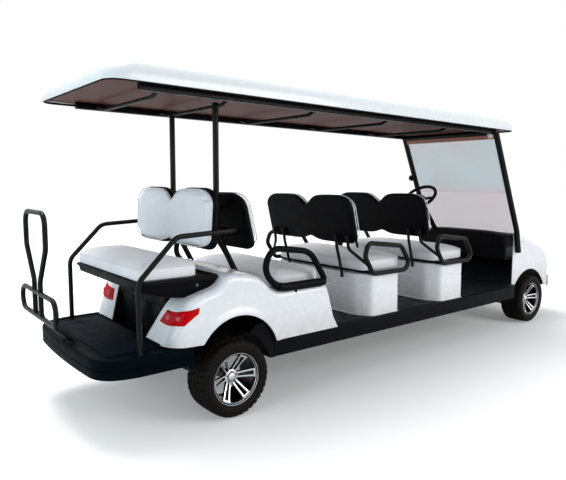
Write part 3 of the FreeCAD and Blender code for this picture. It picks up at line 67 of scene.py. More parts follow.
# %% Place the camera
EYE = np.array([-3.35728, -3.30515, 1.43000])
YAW, PITCH, ROLL = (math.radians(turn) for turn in (51.460, -6.122, 0.202))
FOCAL_PIXELS, PICTURE_WIDTH, SENSOR = 552.762, 566, 36.0

forward = np.array([math.cos(YAW) * math.cos(PITCH), math.sin(YAW) * math.cos(PITCH), math.sin(PITCH)])
level = np.array([math.sin(YAW), -math.cos(YAW), 0.0])
upward = np.cross(level, forward)
right = math.cos(ROLL) * level + math.sin(ROLL) * upward
above = -math.sin(ROLL) * level + math.cos(ROLL) * upward

camera = bpy.data.objects.new("camera", bpy.data.cameras.new("camera"))
scene.collection.objects.link(camera)
turned = Matrix(np.column_stack([right, above, -forward]).tolist()).to_4x4()
camera.matrix_world = Matrix.Translation(EYE.tolist()) @ turned
camera.data.sensor_width = SENSOR
camera.data.lens = FOCAL_PIXELS / PICTURE_WIDTH * SENSOR
camera.data.clip_end = 200
scene.camera = camera
print("lens", round(camera.data.lens, 2))

# %% [markdown]
# ## Nodes
# A material or a world is a tree of nodes. They could be added by hand in the editor,
# one click each. One small function does it here, so that a whole finish fits in a few
# lines: it makes a node, sets its own properties, and fills or links its sockets. A node
# that is given for a socket stands for its first output.

# %% Add a node
def add(tree, kind, sockets=None, **settings):
    """Adds a node: settings are its own properties, sockets its inputs, each a value, output or node."""
    made = tree.nodes.new(f"ShaderNode{kind}")
    for key, value in settings.items():
        setattr(made, key, value)
    for key, value in (sockets or {}).items():
        if isinstance(value, bpy.types.Node):
            value = value.outputs[0]
        if isinstance(value, bpy.types.NodeSocket):
            tree.links.new(value, made.inputs[key])
        else:
            made.inputs[key].default_value = value
    return made


# %% [markdown]
# ## The white room
# A studio picture on white: the backdrop is white only for the camera and for what
# mirrors and glass show, while the cart itself is lit at a plain level by a dim, slightly
# cool world. The other way, a bright white world, would wash out every white moulding.

# %% World
FILL, WHITE, COOL_WHITE = 0.46, (1.0, 1.0, 1.0, 1.0), (0.93, 0.98, 1.0, 1.0)
world = bpy.data.worlds.new("studio")
world.use_nodes = True
scene.world = world
sky = world.node_tree
sky.nodes.clear()
rays = add(sky, "LightPath")
seen = add(sky, "Math", {0: rays.outputs["Is Camera Ray"], 1: rays.outputs["Is Glossy Ray"]},
           operation="MAXIMUM")
shown = add(sky, "Math", {0: seen, 1: rays.outputs["Is Transmission Ray"]}, operation="MAXIMUM")
strength = add(sky, "MapRange", {"Value": shown, "To Min": FILL, "To Max": 1.0})
cool = add(sky, "Mix", {0: shown, 6: COOL_WHITE, 7: WHITE}, data_type="RGBA")
backdrop = add(sky, "Background", {"Color": cool.outputs[2], "Strength": strength})
add(sky, "OutputWorld", {"Surface": backdrop})

# %% [markdown]
# ## The paper floor
# The cart stands on matt paper that takes its shadow. Further away the camera sees the
# paper grow lighter until it meets the white backdrop, so there is no horizon. Only the
# camera sees that glow, and it lights nothing.

# %% Floor
FLOOR_HALF, LIFT_NEAR, LIFT_FAR, SHADE_MIDDLE = 60.0, 0.15, 0.75, (1.2, 0.4, 0.0)
SHADE_NEAR, SHADE_FAR, PAPER = 2.3, 5.6, (0.82, 0.82, 0.82, 1.0)
paper = bpy.data.materials.new("paper_sweep")
paper.use_nodes = True
sheet = paper.node_tree
sheet.nodes.clear()
rays = add(sheet, "LightPath")
matt = add(sheet, "BsdfDiffuse", {"Color": PAPER})
from_middle = add(sheet, "VectorMath", {0: add(sheet, "TexCoord").outputs["Object"], 1: SHADE_MIDDLE},
                  operation="DISTANCE")
sweep = add(sheet, "MapRange", {
    "Value": from_middle.outputs["Value"], "From Min": SHADE_NEAR, "From Max": SHADE_FAR, "To Min": LIFT_NEAR,
    "To Max": LIFT_FAR}, interpolation_type="SMOOTHSTEP")
lift = add(sheet, "Math", {0: rays.outputs["Is Camera Ray"], 1: sweep}, operation="MULTIPLY")
glow = add(sheet, "Emission", {"Color": WHITE, "Strength": lift})
both = add(sheet, "AddShader", {0: matt, 1: glow})
add(sheet, "OutputMaterial", {"Surface": both})

square = np.array([[-1, -1, 0], [1, -1, 0], [1, 1, 0], [-1, 1, 0]]) * FLOOR_HALF
floor_mesh = bpy.data.meshes.new("floor")
floor_mesh.from_pydata(square.tolist(), [], [(0, 1, 2, 3)])
floor_mesh.materials.append(paper)
floor = bpy.data.objects.new("floor", floor_mesh)
scene.collection.objects.link(floor)

# %% [markdown]
# ## Lamps
# Large square lamps give soft shadows, as soft boxes do. One on the cart's right side
# makes the flanks the brightest faces, one above lights the roof and the cushions, and
# a weak bluish one behind opens the shadows under the rear seat.

# %% Lamps
LAMPS = (
    ("side_lamp", (3.2, -7.5, 3.8), 4.5, 310.0, (1.0, 1.0, 1.0)),
    ("top_lamp", (-1.6, 2.0, 8.0), 4.5, 640.0, (1.0, 1.0, 1.0)),
    ("rear_lamp", (-8.5, -0.8, 2.7), 3.4, 150.0, (0.70, 0.92, 1.0)),
)
for lamp_name, lamp_place, lamp_size, lamp_power, lamp_colour in LAMPS:
    lamp_data = bpy.data.lights.new(lamp_name, "AREA")
    lamp_data.shape = "SQUARE"
    lamp_data.size = lamp_size
    lamp_data.energy = lamp_power
    lamp_data.color = lamp_colour
    lamp = bpy.data.objects.new(lamp_name, lamp_data)
    scene.collection.objects.link(lamp)
    aim = (Vector((0.0, 0.0, 0.8)) - Vector(lamp_place)).to_track_quat("-Z", "Y")
    lamp.matrix_world = Matrix.Translation(lamp_place) @ aim.to_matrix().to_4x4()
scene.view_settings.view_transform = "Standard"
print("lamps", [name for name, *_ in LAMPS])

# %% [markdown]
# ## Finishes
# Each finish is a small node tree on the shader that Blender starts with. Its colour is
# a hex value as it would be read from a paint card, and every pattern takes its size
# from a real one in millimetres. The patterns are read from the object's own places, so
# they stay on the piece when it turns.

# %% Colour, scale and an empty finish
Finish = namedtuple("Finish", "material tree shader places")


def linear(code):
    """Hex colour to linear light: v / 12.92 below 0.04045, and ((v + 0.055) / 1.055) ^ 2.4 above."""
    value = np.array([int(code[start:start + 2], 16) for start in (0, 2, 4)]) / 255
    value = np.where(value <= 0.04045, value / 12.92, ((value + 0.055) / 1.055) ** 2.4)
    return (*value.tolist(), 1.0)


def per_metre(millimetres):
    """How often a pattern of this size repeats in a metre."""
    return 1000 / millimetres


def finish(name, colour, roughness, **sockets):
    """A finish with its tree, its shader and the object's own places; sockets are set on the shader."""
    material = bpy.data.materials.new(name)
    material.use_nodes = True
    tree = material.node_tree
    shader = tree.nodes["Principled BSDF"]
    shader.inputs["Base Color"].default_value = linear(colour)
    shader.inputs["Roughness"].default_value = roughness
    for key, value in sockets.items():
        shader.inputs[key.replace("_", " ")].default_value = value
    return Finish(material, tree, shader, add(tree, "TexCoord").outputs["Object"])


def grained(coat, height, depth_mm, strength):
    """Gives a finish relief: a height between 0 and 1 stands for a depth in millimetres."""
    relief = add(coat.tree, "Bump", {"Height": height, "Distance": depth_mm / 1000, "Strength": strength})
    coat.tree.links.new(relief.outputs[0], coat.shader.inputs["Normal"])


def mottled(coat, size_mm, low, high):
    """Lets a finish's gloss drift between two roughness values, in patches of one size."""
    drift = add(coat.tree, "TexNoise", {"Vector": coat.places, "Scale": per_metre(size_mm), "Detail": 3.0})
    gloss = add(coat.tree, "MapRange", {"Value": drift, "From Min": 0.3, "From Max": 0.7, "To Min": low,
                                        "To Max": high})
    coat.tree.links.new(gloss.outputs[0], coat.shader.inputs["Roughness"])
    return drift


def tinted(coat, amount, one, other):
    """Mixes two hex colours by an amount between 0 and 1."""
    mixed = add(coat.tree, "Mix", {0: amount, 6: linear(one), 7: linear(other)}, data_type="RGBA")
    coat.tree.links.new(mixed.outputs[2], coat.shader.inputs["Base Color"])


# %% [markdown]
# ### White mouldings
# The fenders, seat boxes and nose are thermoformed ABS with a gloss acrylic cap, and so
# is the roof. To the eye that is a clean cool white with a soft, slightly wavy mirror:
# the sheet cools over its mould with a faint orange peel a few millimetres across. Below
# a band of heights each white greys in patches: road dust over the body's lowest hand's
# width, and painted shade along the roof's lowest edge. The roof's white is also a darker,
# cooler copy of the body's, a painted shade for its side band.

# %% White ABS for body and roof
def white_abs(name, clean, dust_and_shade_colour, grey_low, grey_high):
    """White acrylic-capped ABS: gloss with orange peel, greying in patches between two heights in metres
    (road dust on the body, painted shade on the roof).
    """
    coat = finish(name, clean, 0.24, Coat_Weight=0.3, Coat_Roughness=0.08)
    mottled(coat, 60.0, 0.2, 0.32)
    peel = add(coat.tree, "TexNoise", {"Vector": coat.places, "Scale": per_metre(7.0), "Detail": 1.0})
    grained(coat, peel, 0.08, 0.25)
    # Between the two heights the white turns to its second colour in patches: road dust on the body, painted
    # shade on the roof's lowest edge.
    height = add(coat.tree, "SeparateXYZ", {0: coat.places}).outputs["Z"]
    low_greying = add(coat.tree, "MapRange", {"Value": height, "From Min": grey_high, "From Max": grey_low})
    cloud = add(coat.tree, "TexNoise", {"Vector": coat.places, "Scale": per_metre(45.0), "Detail": 5.0})
    share = add(coat.tree, "Math", {0: low_greying, 1: cloud}, operation="MULTIPLY")
    tinted(coat, share, clean, dust_and_shade_colour)
    return coat


body_white = white_abs("acrylic_capped_abs", "E9EBF0", "BDBBB6", 0.40, 0.62)
# The roof's white is a darker, cooler copy of the body's, and its lowest edge greys further: painted shade
# for the roof's side band.
roof_white = white_abs("gloss_roof_abs", "E2E7EB", "D2D8DD", 1.88, 1.93)

# %% [markdown]
# ### White marine vinyl
# The cushions are covered with calendered PVC. It has a fine pressed leather grain, a
# dull sheen rather than a gloss, and a warm white that picks up every shade around it.
# The grain is about 1.5 mm across; it is drawn at 5 mm so that it still shows.

# %% Vinyl
def vinyl(name, colour, shaded):
    """Calendered vinyl: cells of a leather grain, fine creases and a soft sheen."""
    coat = finish(name, colour, 0.42, Sheen_Weight=0.12, Sheen_Roughness=0.4)
    cells = add(coat.tree, "TexVoronoi", {"Vector": coat.places, "Scale": per_metre(5.0)},
                feature="SMOOTH_F1")
    folds = add(coat.tree, "TexNoise", {"Vector": coat.places, "Scale": per_metre(90.0), "Detail": 6.0,
                                        "Distortion": 0.6})
    relief = add(coat.tree, "Math", {0: cells, 1: folds}, operation="ADD")
    grained(coat, relief, 0.5, 0.22)
    mottled(coat, 30.0, 0.34, 0.5)
    patch = add(coat.tree, "TexNoise", {"Vector": coat.places, "Scale": per_metre(160.0), "Detail": 2.0})
    tinted(coat, patch, colour, shaded)
    return coat


white_vinyl = vinyl("calendered_vinyl", "F0EEF1", "DCDDE4")
piping_vinyl = vinyl("welt_vinyl", "E4E3E8", "D3D4DB")

# %% [markdown]
# ### Black mouldings
# Backrest shells, tray, dash, sills and deck are injection-moulded polypropylene. The
# mould is spark-eroded, so the surface is a deep black with a fine pebble that breaks
# up reflections. The pebble is 0.6 mm on the real part and 3 mm here.

# %% Black polypropylene
def black_pp(name, colour, pebble_mm, depth_mm, low, high, gloss):
    """Grained polypropylene: a pebbled black whose gloss drifts a little."""
    coat = finish(name, colour, high, Specular_IOR_Level=gloss)
    pebble = add(coat.tree, "TexVoronoi", {"Vector": coat.places, "Scale": per_metre(pebble_mm)})
    grained(coat, pebble, depth_mm, 0.3)
    mottled(coat, 80.0, low, high)
    return coat


black_shell = black_pp("grained_polypropylene", "060609", 3.0, 0.15, 0.42, 0.56, 0.06)
deck_black = black_pp("deck_polypropylene", "020A10", 9.0, 0.3, 0.45, 0.6, 0.02)
mat_black = black_pp("moulded_mat_polypropylene", "020E18", 4.0, 0.2, 0.4, 0.55, 0.02)

# %% [markdown]
# ### Powder-coated steel
# Posts, rails, armrests and the grab bar are steel tube under a satin black powder coat.
# The powder flows into tiny bumps before it cures, so a tube shows a long soft streak
# of light along its length.

# %% Powder coat
powder = finish("satin_powder_coat", "050506", 0.34, Specular_IOR_Level=0.16)
bumps = add(powder.tree, "TexNoise", {"Vector": powder.places, "Scale": per_metre(4.0)})
grained(powder, bumps, 0.1, 0.2)
mottled(powder, 70.0, 0.28, 0.42)

# %% [markdown]
# ### The underside of the roof
# The liner is a vacuum-formed sheet in a warm brown. It hangs in the roof's shade and
# is lit only from the ground, so its colour is what one sees, with the slightly wavy
# gloss of a formed sheet.

# %% Roof liner
liner_brown = finish("formed_liner_sheet", "5A3832", 0.5, Specular_IOR_Level=0.1)
swell = add(liner_brown.tree, "TexNoise", {"Vector": liner_brown.places, "Scale": per_metre(240.0)})
grained(liner_brown, swell, 3.0, 0.3)
tinted(liner_brown, swell, "502E28", "64403A")

# %% [markdown]
# ### Rubber
# Tyres are carbon-black rubber: nearly black, dull, and greyed by dust where the tread
# meets the road. The floor is covered with a ribbed rubber mat; its ribs run along the
# cart, 12 mm apart.

# %% Tyre and mat rubber
tyre_rubber = finish("tread_rubber", "0C0B0B", 0.66, Specular_IOR_Level=0.1)
dust = mottled(tyre_rubber, 25.0, 0.5, 0.75)
tinted(tyre_rubber, dust, "080707", "181310")
grit = add(tyre_rubber.tree, "TexNoise", {"Vector": tyre_rubber.places, "Scale": per_metre(3.0),
                                          "Detail": 4.0})
grained(tyre_rubber, grit, 0.3, 0.35)

RIB_MM = 12.0
mat_rubber = finish("ribbed_mat_rubber", "0B1016", 0.5, Specular_IOR_Level=0.2)
across = add(mat_rubber.tree, "SeparateXYZ", {0: mat_rubber.places}).outputs["Y"]
phase = add(mat_rubber.tree, "Math", {0: across, 1: 2 * math.pi * per_metre(RIB_MM)}, operation="MULTIPLY")
rib = add(mat_rubber.tree, "Math", {0: phase}, operation="SINE")
grained(mat_rubber, rib, 1.0, 0.5)
mottled(mat_rubber, 110.0, 0.4, 0.6)

# %% [markdown]
# ### Wheels
# The wheels are cast aluminium. The front of every spoke was turned bright on a lathe
# and lacquered, and the rest was painted gloss black before that. One finish does both:
# where a surface faces along the axle it is bare metal with fine turning marks, and
# everywhere else it is paint.

# %% Machined face over black paint
TURNING_MM = 2.0
alloy = finish("machined_alloy", "D9DBDE", 0.24)
facing = add(alloy.tree, "SeparateXYZ", {0: add(alloy.tree, "TexCoord").outputs["Normal"]}).outputs["Y"]
outward = add(alloy.tree, "Math", {0: facing}, operation="ABSOLUTE")
bright = add(alloy.tree, "MapRange", {"Value": outward, "From Min": 0.45, "From Max": 0.6})
tinted(alloy, bright, "08080A", "DDE0E4")
alloy.tree.links.new(bright.outputs[0], alloy.shader.inputs["Metallic"])
marks = add(alloy.tree, "TexNoise", {"Vector": alloy.places, "Scale": per_metre(TURNING_MM)})
grained(alloy, marks, 0.1, 0.15)

wheel_paint = finish("gloss_wheel_paint", "060607", 0.2, Specular_IOR_Level=0.35)
flow = add(wheel_paint.tree, "TexNoise", {"Vector": wheel_paint.places, "Scale": per_metre(12.0)})
grained(wheel_paint, flow, 0.1, 0.15)
mottled(wheel_paint, 40.0, 0.16, 0.28)

# %% [markdown]
# ### Running gear
# Axles and knuckles are cast and turned steel with a thin film of oil and dust. The leaf
# springs are painted black and have lost some paint where the leaves rub.

# %% Steel
def steel(name, colour, rust, metallic, rough):
    """Bare or painted steel: a base colour that turns to a second one in small patches."""
    coat = finish(name, colour, rough, Metallic=metallic)
    spots = add(coat.tree, "TexNoise", {"Vector": coat.places, "Scale": per_metre(18.0), "Detail": 6.0})
    worn = add(coat.tree, "MapRange", {"Value": spots, "From Min": 0.52, "From Max": 0.7})
    tinted(coat, worn, colour, rust)
    grained(coat, spots, 0.4, 0.3)
    return coat


cast_steel = steel("oiled_cast_steel", "55565A", "3A322C", 0.8, 0.5)
spring_steel = steel("painted_leaf_steel", "101013", "3B3631", 0.3, 0.5)

# %% [markdown]
# ### Windshield
# The windshield is a tinted polycarbonate sheet. Against a white room it reads as a
# cool grey above and a warmer grey below, where it mirrors the cart's inside. That
# mirror is put into its colour as a painted reflection that turns with height.

# %% Windshield sheet
screen_sheet = finish("tinted_polycarbonate_painted_reflection", "8E9296", 0.12, Alpha=0.36, Specular_IOR_Level=0.1)
# Painted reflection: pink-grey below about 1.35 m, where the sheet would mirror the cart's inside, and
# blue-grey above, broken into broad patches.
rise = add(screen_sheet.tree, "SeparateXYZ", {0: screen_sheet.places}).outputs["Z"]
reflection_height = add(screen_sheet.tree, "MapRange", {"Value": rise, "From Min": 1.33, "From Max": 1.36})
cloud = add(screen_sheet.tree, "TexNoise", {"Vector": screen_sheet.places, "Scale": per_metre(260.0)})
drift = add(screen_sheet.tree, "MapRange", {"Value": cloud, "From Min": 0.35, "From Max": 0.6,
                                            "To Min": 0.55, "To Max": 1.0})
painted_reflection_mix = add(screen_sheet.tree, "Math", {0: reflection_height, 1: drift}, operation="MULTIPLY")
tinted(screen_sheet, painted_reflection_mix, "B992A2", "8CC0CC")
screen_sheet.material.blend_method = "BLEND"

# %% [markdown]
# ### Lamps
# The tail lamps are pressed red acrylic, their round reflectors a paler pink one, and the
# head lamps clear. Upright prisms on the inner face scatter the light, so a lens shows
# fine upright stripes of a deeper and a paler shade under a smooth gloss.

# %% Lenses
PRISM_MM = 6.0


def lens(name, deep, pale, **sockets):
    """Pressed acrylic: upright prisms a few millimetres apart under a smooth gloss skin."""
    coat = finish(name, deep, 0.22, **sockets)
    side = add(coat.tree, "SeparateXYZ", {0: coat.places})
    along = add(coat.tree, "Math", {0: side.outputs["X"], 1: side.outputs["Y"]}, operation="ADD")
    turns = add(coat.tree, "Math", {0: along, 1: 2 * math.pi * per_metre(PRISM_MM)}, operation="MULTIPLY")
    prism = add(coat.tree, "Math", {0: turns}, operation="SINE")
    level = add(coat.tree, "MapRange", {"Value": prism, "From Min": -1.0})
    tinted(coat, level, deep, pale)
    grained(coat, prism, 0.2, 0.2)
    return coat


red_lens = lens("pressed_red_acrylic", "A00008", "DC0410", Specular_IOR_Level=0.05)
pink_lens = lens("pressed_pink_reflector", "B8324C", "E88A9A", Specular_IOR_Level=0.2)
clear_lens = lens("pressed_clear_acrylic", "C9CED3", "EEF1F4", Coat_Weight=0.8)

# %% [markdown]
# ### Header and roof lamp
# The strip above the screen is covered in brown vinyl, dull and a little uneven. The
# small lamp beside it has a frosted lens: sand-blasted acrylic, so it glows pale and soft
# and mirrors nothing sharply.

# %% Brown vinyl and frosted lens
header_brown = finish("brown_header_vinyl", "9C6B5E", 0.6, Specular_IOR_Level=0.2)
mottled(header_brown, 40.0, 0.55, 0.65)
pale_lens = finish("pale_frosted_lens", "E8D2C8", 0.35)
mottled(pale_lens, 10.0, 0.3, 0.4)
print("finishes", len(bpy.data.materials))

# %% [markdown]
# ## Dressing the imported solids
# Most solids keep their own shape and only take a finish. The record names a slot for
# every node, so one table of slots dresses them all.

# %% Give each solid its finish
FINISH_OF_SLOT = {
    "tyre": tyre_rubber, "wheel_metal": alloy, "body_white": body_white, "black_plastic": black_shell,
    "frame_metal": powder, "white_vinyl": white_vinyl, "roof_white": roof_white, "roof_liner": liner_brown,
    "screen": screen_sheet, "lamp_clear": clear_lens, "lamp_red": red_lens, "steel": cast_steel,
    "spring_steel": spring_steel, "floor_mat": mat_rubber,
}
SLOT_OF = {part["node"]: part["material_slot"] for part in frame["record"]["subparts"]}
for node_name, solid in cad.items():
    solid.data.materials.clear()
    solid.data.materials.append(FINISH_OF_SLOT[SLOT_OF[node_name]].material)
print("dressed", len(cad))

# %% [markdown]
# ## Surfaces from grids
# Every new piece is a surface over two parameters: rings of points, one ring per step.
# Numpy works out the whole grid at once, and the faces are the grid's own cells, so no
# point is visited one by one. Rings that shrink to a point close the ends.

# %% Skins and pieces
def skin(grid, wrap_rows=False, wrap_columns=True):
    """Points and faces of a grid: every cell is a face, and the columns close unless told not to."""
    rows, columns = grid.shape[:2]
    numbers = np.arange(rows * columns).reshape(rows, columns)
    if wrap_columns:
        numbers = np.hstack([numbers, numbers[:, :1]])
    if wrap_rows:
        numbers = np.vstack([numbers, numbers[:1]])
    faces = np.stack([numbers[:-1, :-1], numbers[1:, :-1], numbers[1:, 1:], numbers[:-1, 1:]], axis=-1)
    return grid.reshape(-1, 3), faces.reshape(-1, 4)


def capped(rings):
    """Skin of a stack of rings whose first and last ring close in their own middles."""
    first, last = (np.broadcast_to(ring.mean(axis=0), ring.shape) for ring in (rings[0], rings[-1]))
    return skin(np.stack([first, *rings, last]))


def joined(parts):
    """Several skins as one: each one's face numbers move up by the points before it."""
    steps = np.cumsum([0] + [len(places) for places, _ in parts[:-1]])
    return (np.concatenate([places for places, _ in parts]),
            np.concatenate([faces + step for (_, faces), step in zip(parts, steps)]))


def welded(name, part):
    """A mesh of a skin: points that lie together become one, and all faces turn outward."""
    places, faces = part
    mesh = bpy.data.meshes.new(name)
    mesh.from_pydata(places.tolist(), [], faces.tolist())
    work = bmesh.new()
    work.from_mesh(mesh)
    bmesh.ops.remove_doubles(work, verts=work.verts, dist=0.00002)
    bmesh.ops.recalc_face_normals(work, faces=work.faces)
    work.to_mesh(mesh)
    work.free()
    return mesh


def build(name, part, slot, coat=None, body="frame", replaced=None, sharp=50):
    """Makes a piece of a skin, in its slot's finish unless another is named, and lets it ride on a body."""
    mesh = welded(name, part)
    mesh.shade_smooth()
    mesh.set_sharp_from_angle(angle=math.radians(sharp))
    mesh.materials.append((coat or FINISH_OF_SLOT[slot]).material)
    piece = bpy.data.objects.new(name, mesh)
    scene.collection.objects.link(piece)
    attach(piece, body)
    if replaced:
        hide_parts(replaced)
    print(name, len(mesh.polygons), "faces")
    return piece


# %% [markdown]
# ## Lines and tubes
# Rails, posts, beads and piping are tubes: a circle carried along a line. Blender's own
# curves could do that too, but a tube of rings joins other skins in one piece. The lines
# are divided evenly first, so that the rings do not crowd in the bends.

# %% Lines and tubes
def unit(arrows):
    """Arrows divided by their own length."""
    return arrows / np.maximum(np.linalg.norm(arrows, axis=-1, keepdims=True), 1e-12)


def full_turn(count):
    """Angles that divide a full turn evenly, in radians."""
    return np.linspace(0, 2 * math.pi, count, endpoint=False)


def spread(path, count):
    """An open line divided evenly along its length."""
    far = np.concatenate([[0.0], np.cumsum(np.linalg.norm(np.diff(path, axis=0), axis=1))])
    stops = np.linspace(0, far[-1], count)
    return np.column_stack([np.interp(stops, far, values) for values in path.T])


def evenly(outline, count):
    """A closed line divided evenly along its length."""
    return spread(np.vstack([outline, outline[:1]]), count + 1)[:-1]


def tube(path, radius, closed=False, sides=16):
    """A round bar: a circle carried along a path, square to it."""
    path = np.asarray(path, float)
    run = unit(np.roll(path, -1, axis=0) - np.roll(path, 1, axis=0) if closed else np.gradient(path, axis=0))
    lean = np.array([0.137, 0.964, 0.229])
    one = unit(lean - (run @ lean)[:, None] * run)[:, None]
    two = np.cross(run[:, None], one)
    turn = full_turn(sides)[None, :, None]
    rings = path[:, None] + radius * (np.cos(turn) * one + np.sin(turn) * two)
    return skin(rings, wrap_rows=True) if closed else capped(rings)


# %% [markdown]
# ## Moulded forms
# Shells, pads, boxes and the deck come out of moulds: one outline, drawn in or shrunk
# from level to level. A list of levels describes such a form, and the grid between them
# is its surface.

# %% Outlines and levels
FLAT_AXES = ((0.0, 0.0, 0.0), (1.0, 0.0, 0.0), (0.0, 1.0, 0.0), (0.0, 0.0, 1.0))


def drawn_in(outline, inset):
    """An anticlockwise flat outline moved inward by a distance, square to itself."""
    along = unit(np.roll(outline, -1, axis=0) - np.roll(outline, 1, axis=0))
    return outline + np.column_stack([-along[:, 1], along[:, 0]]) * inset


def moulded(outline, rings, axes=FLAT_AXES):
    """A closed form: each ring is the outline drawn in, shrunk to a share about its middle, at a depth."""
    origin, across, up, out = (np.asarray(axis, float) for axis in axes)
    middle = (outline.max(axis=0) + outline.min(axis=0)) / 2
    flat = np.stack([middle + (drawn_in(outline, inset) - middle) * share for share, inset, _ in rings])
    depth = np.array([depth for *_, depth in rings])[:, None, None]
    return skin(origin + flat[..., :1] * across + flat[..., 1:] * up + depth * out)


def edge_rings(radius, low, high, face_low=True, face_high=True, bulge=0.0, steps=5):
    """Rings of a slab with rounded edges; a face bulges by a height times one less its share squared."""
    turn = np.linspace(0, math.pi / 2, steps)
    shares = np.linspace(0.0, 1.0, 12)[:-1]
    rings = [(share, radius, low - (bulge * (1 - share ** 2) if face_low else 0)) for share in shares]
    rings += [(1.0, radius * (1 - math.sin(a)), low + radius * (1 - math.cos(a))) for a in turn]
    rings += [(1.0, radius * (1 - math.cos(a)), high - radius * (1 - math.sin(a))) for a in turn]
    rings += [(share, radius, high + (bulge * (1 - share ** 2) if face_high else 0))
              for share in shares[::-1]]
    return rings


# %% [markdown]
# ## Backrests
# A backrest is a pressed plastic shell with a foam pad in front of it. Seen square on
# it is two humps with a notch between them, and a smaller arch below. The outline is a
# height over the width: a flat line that drops off in quarter ellipses at the corners
# and dips in a smooth bell at the middle.

# %% The outline of a backrest
def two_humps(half_width, height, top, low, notch, arch, count=220):
    """Upper line: height less corner ellipse less notch bell; lower line: corner ellipse plus arch bell."""
    across = np.cos(np.linspace(0, math.pi, 400)) * half_width

    def drop(wide, high):
        over = np.clip((np.abs(across) - (half_width - wide)) / wide, 0, 1)
        return high * (1 - np.sqrt(1 - over ** 2))

    def bell(wide, deep):
        return deep * np.exp(-(np.abs(across) / wide) ** 1.7)

    upper = np.column_stack([across, height - drop(*top) - bell(*notch)])
    lower = np.column_stack([across, drop(*low) + bell(*arch)])[::-1]
    return evenly(np.vstack([upper, lower]), count)


def leaning(side, base_x, base_z, run):
    """Axes of a backrest: a point at its foot, across, up its lean, and out of its face."""
    up = unit(np.array([run[0], 0.0, run[1]]))
    return (base_x, 0.0, base_z), (0.0, side, 0.0), up, np.array([up[2] * side, 0.0, -up[0] * side])


def corners_of(node):
    """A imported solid's lowest corner, highest corner and middle."""
    low, high = (np.array(corner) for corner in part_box(node))
    return low, high, (low + high) / 2


SHELL_DEEP, FORWARD_RUN, REAR_RUN = 0.034, (-0.085, 0.357), (0.023, 0.373)
FOOT_HEIGHTS = {"front": 0.965, "middle": 0.965, "third": 0.993, "rear": 1.012}
BACKS = {}
for row in FOOT_HEIGHTS:
    high_corner = corners_of(f"backrest_shell_{row}")[1]
    run = REAR_RUN if row == "rear" else FORWARD_RUN
    tall = math.hypot(*run)
    foot = high_corner[0] - (run[0] if row == "rear" else SHELL_DEEP * run[1] / tall)
    BACKS[row] = leaning(-1 if row == "rear" else 1, foot, FOOT_HEIGHTS[row], run), tall, high_corner[1]

for row, (axes, tall, half_width) in BACKS.items():
    shape = two_humps(half_width, tall, top=(0.15, 0.10), low=(0.085, 0.05), notch=(0.075, 0.078),
                      arch=(0.07, 0.032))
    build(f"shell_{row}", moulded(shape, edge_rings(0.013, 0.0, SHELL_DEEP, face_high=False), axes),
          "black_plastic", replaced=f"backrest_shell_{row}")

# %% [markdown]
# ## Pads and cushions
# Pads and cushions are foam in a sewn vinyl cover, so they are stuffed here the way an
# upholsterer would: a slightly slack form is blown up as cloth while its seams stay
# where they are. Each kind is stuffed once. A welt of thin piping then closes the seams.

# %% Stuffing a cover
def stuffed(part, held, cap, voxel, pressure=4.0):
    """Blows a closed form up as cloth: points where held is true stay, none moves further than the cap."""
    cover = bpy.data.objects.new("cover", welded("cover", part))
    scene.collection.objects.link(cover)
    even = cover.modifiers.new("even", "REMESH")
    even.mode = "VOXEL"
    even.voxel_size = voxel
    mesh = bpy.data.meshes.new_from_object(cover.evaluated_get(bpy.context.evaluated_depsgraph_get()))
    cover.modifiers.clear()
    cover.data = mesh
    start = np.empty(len(mesh.vertices) * 3)
    mesh.vertices.foreach_get("co", start)
    start = start.reshape(-1, 3)
    seam = cover.vertex_groups.new(name="seam")
    seam.add(np.flatnonzero(held(start)).tolist(), 1.0, "REPLACE")
    cloth = cover.modifiers.new("cloth", "CLOTH")
    cloth.settings.use_pressure = True
    cloth.settings.uniform_pressure_force = pressure
    cloth.settings.effector_weights.gravity = 0.0
    cloth.settings.vertex_group_mass = "seam"
    cloth.settings.quality = 4
    cloth.collision_settings.use_collision = False
    cloth.point_cache.frame_start, cloth.point_cache.frame_end = 1, 20
    for frame_number in range(1, 21):
        scene.frame_set(frame_number)
    blown = cover.evaluated_get(bpy.context.evaluated_depsgraph_get()).data
    end = np.empty(len(start) * 3)
    blown.vertices.foreach_get("co", end)
    move = end.reshape(-1, 3) - start
    reach = np.linalg.norm(move, axis=1, keepdims=True)
    start = start + move * np.minimum(1.0, cap / np.maximum(reach, 1e-9))
    scene.frame_set(1)
    corners = np.empty(len(mesh.loops), dtype=np.int32)
    mesh.loops.foreach_get("vertex_index", corners)
    bpy.data.objects.remove(cover)
    return start, corners.reshape(-1, 4)


def upholstered(name, part, replaced):
    """A stuffed cover as a piece with one level of subdivision."""
    piece = build(name, part, "white_vinyl", replaced=replaced, sharp=180)
    smooth = piece.modifiers.new("smooth", "SUBSURF")
    smooth.levels = smooth.render_levels = 1


# %% [markdown]
# ## Backrest pads
# A pad is a little smaller than its shell and lies against it. Its back stays where the
# shell holds it, and only its front and rim swell. The three forward rows share one pad.

# %% Stuff and place the pads
PAD_LOW, PAD_HIGH, WELT = 0.036, 0.062, 0.0035
PAD_IN, PAD_SHORT, PAD_FOOT, PAD_EDGE, PAD_BULGE = 0.010, 0.018, 0.010, 0.010, 0.006


